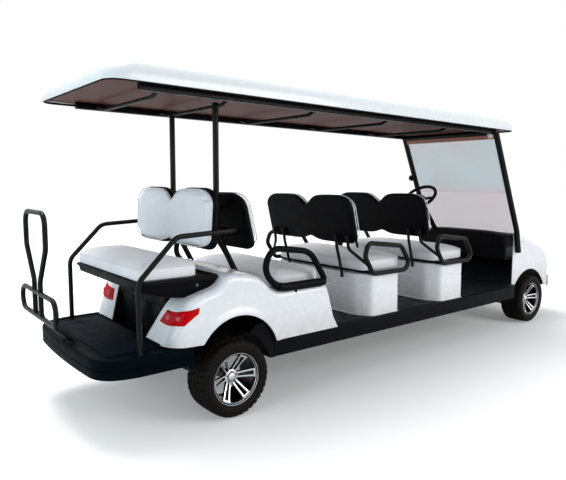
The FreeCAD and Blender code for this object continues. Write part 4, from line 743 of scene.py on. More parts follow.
def pad_cover(half_width, tall):
    """A pad's slack cover in its own axes, its seam line, and its stuffed form."""
    shape = two_humps(half_width - PAD_IN, tall - PAD_SHORT, top=(0.15, 0.10), low=(0.13, 0.07),
                      notch=(0.075, 0.075), arch=(0.07, 0.03))
    shape = shape + np.array([0.0, PAD_FOOT])
    axes = [FLAT_AXES[number] for number in (0, 2, 3, 1)]
    form = moulded(shape, edge_rings(PAD_EDGE, PAD_LOW, PAD_HIGH, face_low=False, bulge=PAD_BULGE), axes)
    form = stuffed(form, lambda places: places[:, 0] < PAD_LOW + 0.006, cap=0.012, voxel=0.0095)
    return shape, form


def placed(places, axes):
    """Points given as out, across and up, carried to a backrest's axes."""
    origin, across, up, out = (np.asarray(axis, float) for axis in axes)
    return origin + places[:, :1] * out + places[:, 1:2] * across + places[:, 2:3] * up


COVERS = {}
for row, (axes, tall, half_width) in BACKS.items():
    kind = "rear" if row == "rear" else "forward"
    if kind not in COVERS:
        COVERS[kind] = pad_cover(half_width, tall)
    shape, (form, faces) = COVERS[kind]
    upholstered(f"pad_{row}", (placed(form, axes), faces), f"backrest_pad_{row}")
    line = drawn_in(shape, 0.004)
    seam = np.column_stack([np.full(len(line), PAD_HIGH - 0.001), line])
    welt = tube(placed(seam, axes), WELT, closed=True, sides=8)
    build(f"pad_welt_{row}", welt, "white_vinyl", piping_vinyl)

# %% [markdown]
# ## Seat cushions
# A seat cushion is a box of foam on a board, with a crowned top and a seam above and
# below its side wall. The cloth keeps still at the board and along the upper seam, so the
# crown and the wall swell between them. The rear cushion is deeper and lies in its tray.

# %% Stuff and place the cushions
def round_box(half_x, half_y, rear_corner, front_corner=None, steps=960):
    """A rounded rectangle about the origin: a circle, plus its signs times the straight halves."""
    circle = np.column_stack([np.cos(full_turn(steps)), np.sin(full_turn(steps))])
    radius = np.where(circle[:, :1] < 0, rear_corner, rear_corner if front_corner is None else front_corner)
    return np.sign(circle) * (np.array([half_x, half_y]) - radius) + circle * radius


def cushion_plan(half_x, half_y, corner, pull, count=200):
    """A rectangle with round corners; its sides pull in by a distance, by a parabola to their middles."""
    outline = round_box(half_x, half_y, corner, steps=720)
    share = outline / np.array([half_x, half_y])
    outline -= np.sign(share) * pull * np.clip(1 - share[:, ::-1] ** 2, 0, 1) * np.abs(share) ** 6
    return evenly(outline, count)


def cushion_cover(node_name, corner, crown, edge, grow=(-0.008, -0.008), sink=0.0):
    """A cushion's plan and stuffed form about its own middle, and the heights of its two seams."""
    low_corner, high_corner, _ = corners_of(node_name)
    half = (high_corner - low_corner) / 2
    plan = cushion_plan(half[0] + grow[0], half[1] + grow[1], corner, 0.006)
    low, high = -half[2] + 0.001 - sink, half[2] - crown * 0.7
    form = moulded(plan, edge_rings(edge, low, high, face_low=False, bulge=crown))
    seam_height = high - edge * 0.8
    form = stuffed(form, lambda places: (places[:, 2] < low + 0.012)
                   | (np.abs(places[:, 2] - seam_height) < 0.006), cap=0.014, voxel=0.0115)
    return plan, form, (low + edge * 0.6, seam_height)


def add_cushion(row, cover):
    """Puts a stuffed cushion and its two welts in a cushion node's place."""
    plan, (form, faces), seams = cover
    middle = corners_of(f"cushion_{row}")[2]
    upholstered(f"seat_cushion_{row}", (form + middle, faces), f"cushion_{row}")
    rings = [tube(np.column_stack([drawn_in(plan, 0.002), np.full(len(plan), height)]) + middle, WELT,
                  closed=True, sides=8) for height in seams]
    build(f"cushion_welt_{row}", joined(rings), "white_vinyl", piping_vinyl)


forward_cushion = cushion_cover("cushion_front", corner=0.07, crown=0.020, edge=0.024)
for row in ("front", "middle", "third"):
    add_cushion(row, forward_cushion)
rear_cushion = cushion_cover("cushion_rear", corner=0.055, crown=0.026, edge=0.030, grow=(0.006, 0.020),
                             sink=0.022)
add_cushion("rear", rear_cushion)

# %% [markdown]
# ## Tyres
# A tyre is a profile turned about the axle. The tread is cut into it: a groove wherever
# a smooth wave of the angle and the width drops, and each shoulder has its own lugs.
# The grooves are real steps in the surface, so the shoulders show their blocks.

# %% Turn the tyres
WHEEL_SIDES = {"front_left": 1, "front_right": -1, "rear_left": 1, "rear_right": -1}
TREAD_R, TREAD_HALF, TREAD_CROWN, LUGS = 0.2385, 0.088, 0.0035, 36
GROOVE_DEPTH, GROOVE_WAVE, SIDE_GROOVE, SHOULDER, LUG_FOOT = 0.0075, 0.012, 0.034, 0.046, 0.208
SIDEWALL_RIBS = ((0.163, 0.0990), (0.206, 0.1066))
profile_w = np.array([0.078, 0.090, 0.096, 0.103, 0.1072, 0.1070, 0.1035, 0.0985, 0.0930, 0.0880])
profile_r = np.array([0.146, 0.149, 0.158, 0.172, 0.190, 0.205, 0.219, 0.227, 0.2325, 0.2350])


def groove(value, width, edge):
    """1 inside a groove of a half width about zero, falling to 0 over an edge."""
    return np.clip((width - np.abs(value)) / edge + 0.5, 0, 1)


def tyre_skin():
    """Radius over angle and width: sidewall from the profile, crowned tread, less the grooves."""
    far = np.linspace(0, len(profile_w) - 1, 24)
    wall_w = np.interp(far, np.arange(len(profile_w)), profile_w)
    wall_r = np.interp(far, np.arange(len(profile_r)), profile_r)
    tread_w = np.linspace(TREAD_HALF, -TREAD_HALF, 46)[1:-1]
    tread_r = TREAD_R - TREAD_CROWN * (tread_w / TREAD_HALF) ** 2
    w = np.concatenate([wall_w, tread_w, -wall_w[::-1]])
    r = np.concatenate([wall_r, tread_r, wall_r[::-1]])
    turn = full_turn(504)[:, None]
    width = w[None, :]
    side = np.sign(width)
    wave = GROOVE_WAVE * np.sin(turn * LUGS / 2)
    lines = groove(width - wave, 0.0032, 0.003) + groove(np.abs(width) - SIDE_GROOVE, 0.003, 0.003)
    phase = (turn * LUGS / (2 * math.pi) + 0.25 * side + np.abs(width) * 4.0) % 1.0 - 0.5
    lugs = groove(phase, 0.12, 0.06) * np.clip((np.abs(width) - SHOULDER) / 0.004, 0, 1)
    lugs = lugs * np.clip((r[None, :] - LUG_FOOT) / 0.006, 0, 1)
    sipes = groove((turn * LUGS / (2 * math.pi) - np.abs(width) * 9.0) % 1.0 - 0.5, 0.06, 0.05)
    sipes = sipes * (np.abs(width) < SIDE_GROOVE)
    deepest = np.maximum(lines * (np.abs(width) < TREAD_HALF), np.maximum(lugs, 0.6 * sipes))
    radius = r[None, :] - GROOVE_DEPTH * np.clip(deepest, 0, 1)
    across = np.broadcast_to(width, radius.shape)
    return np.stack([radius * np.cos(turn), across, radius * np.sin(turn)], axis=-1)


def sidewall_rib(radius, width, size):
    """A plain raised rib around the sidewall."""
    turn = full_turn(144)
    ring = np.column_stack([np.cos(turn) * radius, np.full(144, width), np.sin(turn) * radius])
    return tube(ring, size, closed=True, sides=8)


tread = tyre_skin()
for wheel in WHEEL_SIDES:
    ribs = [sidewall_rib(radius, width * hand, 0.0016) for hand in (1, -1) for radius, width in SIDEWALL_RIBS]
    places, faces = joined([skin(tread.transpose(1, 0, 2), wrap_rows=True)] + ribs)
    places = places + corners_of(f"tyre_{wheel}")[2]
    build(f"tread_{wheel}", (places, faces), "tyre", body=f"wheel_{wheel}", replaced=f"tyre_{wheel}",
          sharp=40)

# %% [markdown]
# ## Roof
# The canopy is one formed sheet: a shallow tray turned upside down with a turned-in lip.
# Its edge is convex, so it is drawn as rounded rectangles, one above the other, that
# shrink slowly at first and fast near the top. All heights follow the roof's slope.

# %% Form the canopy
ROOF_LOW, ROOF_HIGH, _ = corners_of("roof_panel")
ROOF_HIGH[0] += 0.05
ROOF_HALF_X, ROOF_HALF_Y = (ROOF_HIGH[0] - ROOF_LOW[0]) / 2, ROOF_HIGH[1]
LIP_REAR, LIP_FRONT, LIP_IN, ROOF_RISE = 1.936, 1.891, 0.020, 0.108
SHRINK_X, SHRINK_Y, MIDDLE_X, MIDDLE_Y, MIDDLE_DOME = 0.085, 0.062, 0.160, 0.137, 0.008


def roof_lip(x):
    """Height of the roof's lip along the cart: a straight slope from the rear to the front."""
    return LIP_REAR + (LIP_FRONT - LIP_REAR) * (x - ROOF_LOW[0]) / (ROOF_HIGH[0] - ROOF_LOW[0])


def roof_ring(inset_x, inset_y, rise, corner, count=320):
    """A rounded rectangle inside the roof's plan, raised above the lip's slope."""
    half_x, half_y = ROOF_HALF_X - inset_x, ROOF_HALF_Y - inset_y
    ring = evenly(round_box(half_x, half_y, min(corner, half_x, half_y), steps=1200), count)
    x = ring[:, 0] + ROOF_LOW[0] + ROOF_HALF_X
    return np.column_stack([x, ring[:, 1], roof_lip(x) + rise])


def canopy_rings():
    """Underside, turned-in lip, convex edge, a low step near the top, and the slightly domed top."""
    rings = [roof_ring(ROOF_HALF_X + (LIP_IN - ROOF_HALF_X) * s, ROOF_HALF_Y + (LIP_IN - ROOF_HALF_Y) * s,
                       0.024, 0.07) for s in np.linspace(0, 1, 6)]
    rings += [roof_ring(0.012, 0.012, 0.022, 0.08), roof_ring(0.008, 0.008, 0.004, 0.084),
              roof_ring(0.004, 0.004, 0.0, 0.087), roof_ring(0.0005, 0.0005, 0.003, 0.09)]
    rings += [roof_ring(SHRINK_X * (1 - math.cos(s * math.pi / 2)),
                        SHRINK_Y * (1 - math.cos(s * math.pi / 2)),
                        0.003 + ROOF_RISE * math.sin(s * math.pi / 2), 0.09 + 0.06 * s)
              for s in np.linspace(0.04, 1.0, 14)]
    top = 0.003 + ROOF_RISE
    rings += [roof_ring(0.115, 0.092, top, 0.13), roof_ring(0.125, 0.102, top - 0.006, 0.125),
              roof_ring(0.150, 0.127, top - 0.006, 0.12), roof_ring(MIDDLE_X, MIDDLE_Y, top, 0.115)]
    rings += [roof_ring(MIDDLE_X + (ROOF_HALF_X - MIDDLE_X) * s, MIDDLE_Y + (ROOF_HALF_Y - MIDDLE_Y) * s,
                        top + MIDDLE_DOME * math.sin(s * math.pi / 2), 0.11 * (1 - s))
              for s in np.linspace(0.08, 1.0, 10)]
    return np.stack(rings)


build("canopy", skin(canopy_rings()), "roof_white", replaced="roof_panel", sharp=30)
edging = tube(roof_ring(0.011, 0.011, -0.001, 0.08), 0.006, closed=True, sides=10)
build("canopy_edging", edging, "black_plastic")

# %% [markdown]
# ## Rear body
# The fenders and the third row's seat box are one thermoformed skin, drawn over a mould.
# It is two lines with a ruled sheet between them: the outline seen from the side, and
# the lower edge that runs over the wheel arch. The flank stands on the lower edge, turns
# over a round shoulder and crosses to the other side. Towards the rear the width follows
# a quarter circle, so the flank flows into the rear face. The edge over the wheel flares
# out. Both lines start as a few corners, as a bender would read them from a drawing, and
# each corner is rounded by its own radius.

# %% Form the rear body
AXLE_X = -1.565
BODY_SIDE = np.array([
    (-0.420, 0.495), (-0.337, 0.690), (-0.292, 0.756), (-0.092, 0.806), (-0.032, 0.880), (0.210, 0.850),
    (0.300, 0.735), (0.763, 0.735), (0.850, 0.4245)])
BODY_BENDS = np.array([0.05, 0.06, 0.06, 0.06, 0.10, 0.09, 0.035])
ARCH_X, ARCH_Z, ARCH_R = 0.030, 0.330, 0.300
BODY_HALF, BODY_CORNER, CORNER_START = 0.600, 0.130, -0.290
BAY_FOOT, BAY_LOW, BAY_GROWTH, BAY_TOP = 0.495, 0.270, 0.44, 0.752
BODY_SHOULDER, FLARE, FLARE_REACH, LEAN, CROWN, BAY_SHARE = 0.045, 0.010, 0.035, 0.014, 0.006, 0.6
BODY_ROWS, FLANK, TURN, TOP = 300, 26, 8, 60


def rounded(corners, radius, steps=9):
    """A path with its corners rounded: each becomes a parabola that starts and ends a radius away."""
    corners = np.asarray(corners, float)
    before, at, after = corners[:-2], corners[1:-1], corners[2:]
    reach_in = np.minimum(radius, np.linalg.norm(before - at, axis=1) / 2.05)[:, None]
    reach_out = np.minimum(radius, np.linalg.norm(after - at, axis=1) / 2.05)[:, None]
    start, end = at + unit(before - at) * reach_in, at + unit(after - at) * reach_out
    t = np.linspace(0, 1, steps)[None, :, None]
    bends = start[:, None] * (1 - t) ** 2 + at[:, None] * 2 * t * (1 - t) + end[:, None] * t ** 2
    return np.vstack([corners[:1], bends.reshape(-1, corners.shape[1]), corners[-1:]])


def body_half_width(x):
    """Half the body's width: constant, and a quarter circle in plan at the rear corner."""
    into = np.clip(CORNER_START - x, 0, BODY_CORNER)
    return BODY_HALF - BODY_CORNER + np.sqrt(np.maximum(BODY_CORNER ** 2 - into ** 2, 0))


def bay_half(z):
    """Half the width of the opening between the fenders: it grows with the height above its foot."""
    return BAY_LOW + BAY_GROWTH * (z - BAY_FOOT)


def body_lines():
    """The side outline and the lower edge, as equally many points from the rear foot to the front one."""
    high = spread(rounded(BODY_SIDE, BODY_BENDS), BODY_ROWS)
    first, last = np.arcsin((BODY_SIDE[[0, -1], 1] - ARCH_Z) / ARCH_R)
    angles = np.linspace(math.pi - first, last, 90)
    arch = np.column_stack([ARCH_X + ARCH_R * np.cos(angles), ARCH_Z + ARCH_R * np.sin(angles)])
    low = spread(np.vstack([BODY_SIDE[:1], arch, BODY_SIDE[-1:]]), BODY_ROWS)
    return high, low


def body_flank():
    """One flank from its lower edge to the end of its shoulder, as x, half width and height."""
    high, low = body_lines()
    fall = low - high
    length = np.linalg.norm(fall, axis=1, keepdims=True)
    slope = fall / np.maximum(length, 1e-9)
    size = np.minimum(BODY_SHOULDER, length * 0.45)
    up = np.linspace(0, 1, FLANK)[None, :, None]
    face = low[:, None] + (high + size * slope - low)[:, None] * up
    arc = np.linspace(0, math.pi / 2, TURN)[None, 1:, None]
    shoulder = high[:, None] + size[:, None] * slope[:, None] * (1 - np.sin(arc))
    inward = np.concatenate([np.zeros((BODY_ROWS, FLANK)), size * (1 - np.cos(arc[..., 0]))], axis=1)
    flat = np.concatenate([face, shoulder], axis=1)
    from_arch = np.hypot(flat[..., 0] - ARCH_X, flat[..., 1] - ARCH_Z) - ARCH_R
    flare = FLARE * np.exp(-(np.maximum(from_arch, 0) / FLARE_REACH) ** 2)
    lean = LEAN * np.clip((flat[..., 1] - 0.50) / 0.3, 0, 1) ** 2
    wide = body_half_width(flat[..., 0]) - inward - lean + flare
    return np.stack([flat[..., 0] + AXLE_X, wide, flat[..., 1]], axis=-1)


def body_grid():
    """The whole skin, from the lower edge of one flank over the top to the other's."""
    flank = body_flank()
    edge = flank[:, -1]
    share = np.linspace(1, -1, TOP)[None, 1:-1]
    bay = bay_half(np.minimum(edge[:, 2:], BAY_TOP))
    inner = share / BAY_SHARE * bay
    outer = np.sign(share) * (bay + (np.abs(share) - BAY_SHARE) / (1 - BAY_SHARE) * (edge[:, 1:2] - bay))
    warped = np.where(np.abs(share) < BAY_SHARE, inner, outer)
    rear = np.clip((0.83 - edge[:, 2:]) / 0.07, 0, 1) * (edge[:, :1] < AXLE_X - 0.15)
    across = share * edge[:, 1:2] * (1 - rear) + warped * rear
    crown = CROWN * (1 - share ** 2) * (edge[:, 2:] > 0.78)
    top = np.stack([np.broadcast_to(edge[:, :1], across.shape), across, edge[:, 2:] + crown], axis=-1)
    return np.concatenate([flank, top, (flank * np.array([1.0, -1.0, 1.0]))[:, ::-1]], axis=1)


def walled(piece, thick):
    """Gives an open sheet its wall thickness, inward from its face."""
    wall = piece.modifiers.new("wall", "SOLIDIFY")
    wall.thickness = thick
    wall.offset = -1.0
    return piece


body_sheet = body_grid()
places, faces = skin(body_sheet, wrap_columns=False)
x, y, z = places[faces].mean(axis=1).T
in_bay = (x < AXLE_X - 0.25) & (z < BAY_TOP) & (np.abs(y) < bay_half(z))
walled(build("body_skin", (places, faces[~in_bay]), "body_white", replaced="rear_body", sharp=60), 0.004)

# %% [markdown]
# ## Rolled lips
# A cut sheet this thin would be sharp, so its edges are rolled into a bead. The bead is
# a thin tube along the wheel arches and round the opening between the fenders.

# %% Beads on the cut edges
lips = [tube(body_sheet[:, 0] * np.array([1.0, side, 1.0]) - np.array([0, side * 0.003, 0]), 0.0055, sides=10)
        for side in (1, -1)]
high_line = body_lines()[0]
rear_rows = high_line[(high_line[:, 1] < BAY_TOP) & (high_line[:, 0] < -0.25)]
one_side = np.column_stack([rear_rows[:, 0] + AXLE_X + 0.003, bay_half(rear_rows[:, 1]), rear_rows[:, 1]])
bay_path = np.vstack([one_side, one_side[::-1] * np.array([1.0, -1.0, 1.0])])
lips.append(tube(rounded(spread(bay_path, 40), 0.02), 0.005, sides=10))
build("body_lips", joined(lips), "body_white")

# %% [markdown]
# ## Tail lamps
# A lamp is a pressed red lens that follows the corner of the fender. Its four corners
# are places on the body's own grid, and the lens is the patch between them, lifted a few
# millimetres in the middle and sunk under the skin at its edge. Two round reflectors sit
# in its inner half.

# %% Red lenses on the corners
def on_sheet(sheet, row, column):
    """Points of a grid at fractional rows and columns, straight between the four nearest."""
    low_row, low_column = np.floor(row).astype(int), np.floor(column).astype(int)
    over_row, over_column = (row - low_row)[..., None], (column - low_column)[..., None]
    here, next_row = (sheet[line, low_column] * (1 - over_column) + sheet[line, low_column + 1] * over_column
                      for line in (low_row, low_row + 1))
    return here * (1 - over_row) + next_row * over_row


def nearest(sheet, spot):
    """Row and column of the grid point nearest to a place."""
    return np.unravel_index(np.argmin(np.linalg.norm(sheet - np.array(spot), axis=-1)), sheet.shape[:2])


def bow(start, middle, end, s):
    """A parabola that passes its middle place half way."""
    pull = 2 * middle - (start + end) / 2
    return start * (1 - s) ** 2 + pull * 2 * s * (1 - s) + end * s ** 2


def lens_patch(sheet, low_edge, high_edge, lift, rows=20, columns=44):
    """Patch between two bowed edges, each given by three places on a sheet; domed out along its normal."""
    s = np.linspace(0, 1, columns)[None, :, None]
    t = np.linspace(0, 1, rows)[:, None, None]
    low, high = (bow(*(np.array(nearest(sheet, spot), float) for spot in edge), s)
                 for edge in (low_edge, high_edge))
    at = low * (1 - t) + high * t
    spots = on_sheet(sheet, at[..., 0], at[..., 1])
    normal = unit(np.cross(np.gradient(spots, axis=1), np.gradient(spots, axis=0)))
    outward = np.sign((normal * (spots - np.array([AXLE_X, 0.0, 0.55]))).sum(axis=-1, keepdims=True))
    dome = np.clip(1 - np.abs(2 * s - 1) ** 8, 0, 1) * np.clip(1 - np.abs(2 * t - 1) ** 6, 0, 1)
    return spots + normal * outward * (lift * dome ** 0.5 - 0.002)


LENS_LOW = np.array([(-1.937, 0.345, 0.609), (-1.915, 0.567, 0.612), (-1.805, 0.596, 0.672)])
LENS_HIGH = np.array([(-1.906, 0.392, 0.682), (-1.896, 0.560, 0.697), (-1.796, 0.596, 0.708)])
REFLECTORS = ((0.17, 0.52, 0.017), (0.44, 0.45, 0.014))
REFLECTOR_RADII = np.array([0.0, 1.0, 1.0, 0.9, 0.78, 0.72, 0.5, 0.25, 0.0])
REFLECTOR_RISES = np.array([-0.004, -0.004, 0.002, 0.0035, 0.003, 0.0, 0.0025, 0.004, 0.0045])


def domed(centre, outward, radii, rises, sides=32):
    """A profile of radii and rises turned about an arrow that leaves a centre."""
    outward = unit(np.asarray(outward, float))
    lean = np.array([0.31, 0.17, 0.93])
    one = unit(lean - (outward @ lean) * outward)
    turn = full_turn(sides)[None, :, None]
    circle = np.cos(turn) * one + np.sin(turn) * np.cross(outward, one)
    return skin(np.asarray(centre, float) + radii[:, None, None] * circle + rises[:, None, None] * outward)


for side, label in ((1, "left"), (-1, "right")):
    mirror = np.array([1.0, side, 1.0])
    patch = lens_patch(body_sheet, LENS_LOW * mirror, LENS_HIGH * mirror, 0.010)
    walled(build(f"tail_lens_{label}", skin(patch, wrap_columns=False), "lamp_red",
                 replaced="tail_lights" if side == 1 else None, sharp=60), 0.002)
    across_lens, up_lens = np.gradient(patch, axis=1), np.gradient(patch, axis=0)
    rings = []
    for share_across, share_up, size in REFLECTORS:
        row, column = int(share_up * len(patch)), int(share_across * patch.shape[1])
        outward = unit(np.cross(across_lens[row, column], up_lens[row, column]))
        outward = outward * np.sign(outward @ np.array([-1.0, side * 0.5, 0.3]))
        centre = patch[row, column] + outward * 0.001
        rings.append(domed(centre, outward, REFLECTOR_RADII * size, REFLECTOR_RISES))
    build(f"tail_reflectors_{label}", joined(rings), "lamp_red", pink_lens)

# %% [markdown]
# ## The rear seat's tray
# The rear cushion lies in a shallow black tray. Its rim is thin at the back, with a
# turned lip, and its sides deepen towards the body like a gusset. It is drawn as
# rounded rectangles from the underside to the rim, and each point's height falls along
# the tray's own lower line.

# %% Form the tray
TRAY_TOP, TRAY_REAR, TRAY_FRONT, TRAY_HALF = 0.872, -2.138, -1.618, 0.514
TRAY_LOW_LINE = np.array([(-2.138, 0.822), (-2.06, 0.798), (-1.95, 0.766), (-1.80, 0.748), (-1.66, 0.752),
                          (-1.618, 0.80)])


def box_plan(x_low, x_high, half_y, rear_corner, front_corner, count=240):
    """A rounded rectangle between two places along the cart."""
    shift = np.array([(x_high + x_low) / 2, 0.0])
    return evenly(round_box((x_high - x_low) / 2, half_y, rear_corner, front_corner) + shift, count)


def tray_rings():
    """Rings by inset, share of the way up from the lower line, and drop: underside, rim, sunken floor."""
    levels = [(0.30, 0.0, 0.0), (0.16, 0.0, 0.0), (0.06, 0.0, 0.0), (0.030, 0.0, 0.0), (0.022, 0.03, 0.0),
              (0.016, 0.12, 0.0), (0.010, 0.62, 0.0), (0.009, 0.70, 0.0), (0.002, 0.73, 0.0),
              (0.0, 0.78, 0.0), (0.0, 0.93, 0.0), (0.003, 0.99, 0.0), (0.007, 1.0, 0.0), (0.014, 1.0, 0.0),
              (0.018, 1.0, 0.004), (0.022, 1.0, 0.012), (0.06, 1.0, 0.012), (0.22, 1.0, 0.012)]
    rings = []
    for inset, share, drop in levels:
        plan = box_plan(TRAY_REAR + inset, TRAY_FRONT - inset * 0.6, TRAY_HALF - inset, 0.05, 0.03)
        low = np.interp(plan[:, 0], TRAY_LOW_LINE[:, 0], TRAY_LOW_LINE[:, 1])
        rings.append(np.column_stack([plan, low + (TRAY_TOP - low) * share - drop]))
    return rings


build("seat_tray", capped(tray_rings()), "black_plastic", replaced="rear_seat_base", sharp=35)

# %% [markdown]
# ## The tray's bolts
# One button-headed bolt on each side holds the tray. A button head is a low dome on a
# short collar, so it is a profile turned about the bolt's own direction. Nuts, knobs and
# the small lamp further on are made the same way.

# %% Button heads
BUTTON_RADII, BUTTON_RISES = np.array([[0.0, 1.0, 1.0, 0.86, 0.55, 0.0], [-0.5, -0.5, 0.35, 0.75, 0.95, 1.0]])


def button(centre, outward, size, height):
    """A round button head: a low dome on a short collar."""
    return domed(centre, outward, BUTTON_RADII * size, BUTTON_RISES * height, sides=20)


BOLT_X, BOLT_Z, BOLT_SUNK, BOLT_SIZE, BOLT_HEIGHT = -1.768, 0.822, 0.010, 0.011, 0.006
tray_bolts = [button((BOLT_X, side * (TRAY_HALF - BOLT_SUNK), BOLT_Z), (0, side, 0), BOLT_SIZE, BOLT_HEIGHT)
              for side in (1, -1)]
build("tray_bolts", joined(tray_bolts), "steel")

# %% [markdown]
# ## Footrest deck
# The deck is a deep moulded step with wide rear corners. Its top has a raised rim and a
# sunken floor with a ribbed mat, and a fine groove runs around its side where two halves
# of the mould met.

# %% Form the deck and its mat
def mirrored(half, count):
    """A closed outline from the half of it on one side of the cart's middle, divided evenly."""
    return evenly(np.vstack([half, half[1:-1][::-1] * np.array([1.0, -1.0])]), count)


(DECK_REAR, *_), (DECK_FRONT, DECK_HALF, _), _ = corners_of("footrest_deck")
DECK_BENDS = np.array([(DECK_FRONT, 0.0), (DECK_FRONT, DECK_HALF), (DECK_REAR + 0.130, DECK_HALF),
                       (DECK_REAR - 0.006, 0.505), (DECK_REAR - 0.024, 0.200), (DECK_REAR - 0.026, 0.0)])
deck_side = rounded(DECK_BENDS, np.array([0.012, 0.11, 0.10, 0.4]))
DECK_RINGS = [(0.0, 0.05, 0.400), (0.5, 0.05, 0.400), (0.97, 0.02, 0.400), (1.0, 0.014, 0.396),
              (1.0, 0.010, 0.380), (1.0, 0.006, 0.377), (1.0, 0.002, 0.379), (1.0, 0.0, 0.384),
              (1.0, 0.0, 0.424), (1.0, 0.0035, 0.4265), (1.0, 0.0035, 0.4295), (1.0, 0.0, 0.432),
              (1.0, 0.0, 0.472), (1.0, 0.002, 0.480), (1.0, 0.007, 0.4845), (1.0, 0.013, 0.4855),
              (1.0, 0.030, 0.4855), (1.0, 0.036, 0.484), (1.0, 0.040, 0.479), (1.0, 0.046, 0.478),
              (0.8, 0.046, 0.478), (0.4, 0.046, 0.478), (0.0, 0.046, 0.478)]
build("deck_step", moulded(mirrored(deck_side, 300), DECK_RINGS), "black_plastic", deck_black,
      replaced="footrest_deck", sharp=35)


def ribbed_mat(x_low, x_high, half_y, base, rib_mm, height):
    """A mat whose top rises in rounded ribs across the cart: height times a power of a sine of x."""
    x = np.linspace(x_low, x_high, 340)
    ribs = np.abs(np.sin((x - x_low) * math.pi * per_metre(rib_mm))) ** 0.6 * height
    ribs[[0, -1]] = 0.0
    y = np.array([-half_y, -half_y, -half_y + 0.006, half_y - 0.006, half_y, half_y])
    rise = np.array([-0.004, 0.0, 1.0, 1.0, 0.0, -0.004])
    lift = np.where(rise > 0, ribs[:, None] * rise, np.minimum(rise, 0.0))
    return capped(np.stack(np.broadcast_arrays(x[:, None], y[None], base + lift), axis=-1))


deck_mat = ribbed_mat(x_low=-2.30, x_high=-1.975, half_y=0.46, base=0.479, rib_mm=13.0, height=0.006)
build("deck_mat", deck_mat, "black_plastic", mat_black, sharp=40)

# %% [markdown]
# ## Panel below the rear seat
# The space between the fenders is closed by a black board with upright stiffening ribs:
# a low wide one, and a narrower one above it where the fenders lean in. The ribs are a
# wave across the board with its crests cut flat.

# %% Ribbed board
def board(x, half_y, low, high, ribs, depth):
    """A flat board across the cart whose face steps back in shallow upright channels, a smooth wave of y."""
    y = np.linspace(-half_y, half_y, 160)
    wave = depth * np.clip(1.6 * np.cos(y * ribs * math.pi / half_y), -1, 1)
    z = np.array([low, low, low + 0.01, high - 0.01, high, high])
    back = np.array([1.0, 0.0, 0.0, 0.0, 0.0, 1.0])
    face = np.where(back[None] > 0, x + 0.016, x + wave[:, None] * (np.arange(6)[None] % 3 > 0))
    return capped(np.stack(np.broadcast_arrays(face, y[:, None], z[None]), axis=-1))


wide_board = board(x=-1.892, half_y=0.555, low=0.486, high=0.672, ribs=5, depth=0.005)
high_board = board(x=-1.888, half_y=0.345, low=0.660, high=0.772, ribs=3, depth=0.004)
build("inner_board", joined([wide_board, high_board]), "black_plastic", replaced="rear_inner_panel", sharp=35)

# %% [markdown]
# ## Seat boxes
# Each box under a cushion is a white moulding: wide sides, chamfered rear corners and a
# slight draft, so that it slides off its mould. A shallow groove runs round it at two
# thirds of its height, and its foot ends in a small flange.

# %% Form the seat boxes
BOX_HALF, BOX_BACK_HALF, TAPER_START, BOX_LONG = 0.560, 0.430, 0.300, 0.370
BOX_RINGS = [(0.0, 0.03, 0.425), (0.9, 0.03, 0.425), (1.0, 0.012, 0.425), (1.0, -0.006, 0.4255),
             (1.0, -0.008, 0.428), (1.0, -0.006, 0.431), (1.0, -0.001, 0.433), (1.0, 0.0, 0.437),
             (1.0, 0.001, 0.620), (1.0, 0.0045, 0.624), (1.0, 0.0045, 0.636), (1.0, 0.001, 0.640),
             (1.0, 0.002, 0.715), (1.0, 0.004, 0.726), (1.0, 0.010, 0.7335), (1.0, 0.018, 0.735),
             (0.9, 0.03, 0.735), (0.0, 0.03, 0.735)]


def box_outline(front, corner=0.03):
    """Plan of a seat box: straight sides, then a taper to its narrower back, all corners rounded."""
    half = np.array([(front, 0.0), (front, BOX_HALF), (front - TAPER_START, BOX_HALF),
                     (front - BOX_LONG, BOX_BACK_HALF), (front - BOX_LONG, 0.0)])
    return mirrored(rounded(half, np.full(3, corner)), 260)


for row in ("front", "middle"):
    front_edge = corners_of(f"seat_box_{row}")[1][0]
    build(f"seat_box_skin_{row}", moulded(box_outline(front_edge), BOX_RINGS), "body_white",
          replaced=f"seat_box_{row}", sharp=35)

# %% [markdown]
# ## Cast wheels
# A wheel is a barrel with a thin turned flange, a deep hub, and six pairs of narrow
# spokes around dark slots. The barrel and hub are profiles turned about the axle. Each
# spoke is one section that shrinks and turns from the hub out to the barrel, and all
# twelve are worked out at once as one table.

# %% Barrel, hub and spokes
def turned(profile, sides=96):
    """A profile of (width, radius) turned about the y axis."""
    turn = full_turn(sides)[None, :]
    w, r = (np.array(profile)[:, part][:, None] for part in (0, 1))
    return np.stack([r * np.cos(turn), np.broadcast_to(w, (len(w), sides)), r * np.sin(turn)], axis=-1)


BARREL = [(0.0870, 0.1496), (0.0905, 0.1620), (0.0950, 0.1625), (0.0968, 0.1610), (0.0968, 0.1580),
          (0.0935, 0.1555), (0.0900, 0.1500), (0.0860, 0.1470), (0.0600, 0.1440), (0.0, 0.1432),
          (-0.0860, 0.1446), (-0.0935, 0.1500), (-0.0966, 0.1570), (-0.0966, 0.1610), (-0.0905, 0.1625),
          (-0.0880, 0.1600), (-0.0870, 0.1496)]
HUB = [(-0.006, 0.0), (-0.006, 0.045), (0.034, 0.046), (0.0375, 0.0445), (0.0390, 0.0420),
       (0.0390, 0.0305), (0.0360, 0.0290), (0.0360, 0.0270), (0.0440, 0.0255), (0.0480, 0.0215),
       (0.0500, 0.0130), (0.0505, 0.0)]
SECTION_U = np.array([-0.5, -0.5, -0.36, -0.14, 0.14, 0.36, 0.5, 0.5])
SECTION_D = np.array([1.0, 0.24, 0.05, 0.0, 0.0, 0.05, 0.24, 1.0])
SPOKE_TURNS = full_turn(6) + math.radians(4.0)
SPOKE_ENDS = ((0.038, 0.1455), (0.0115, 0.0205), (0.0125, 0.0145), (0.022, 0.016))
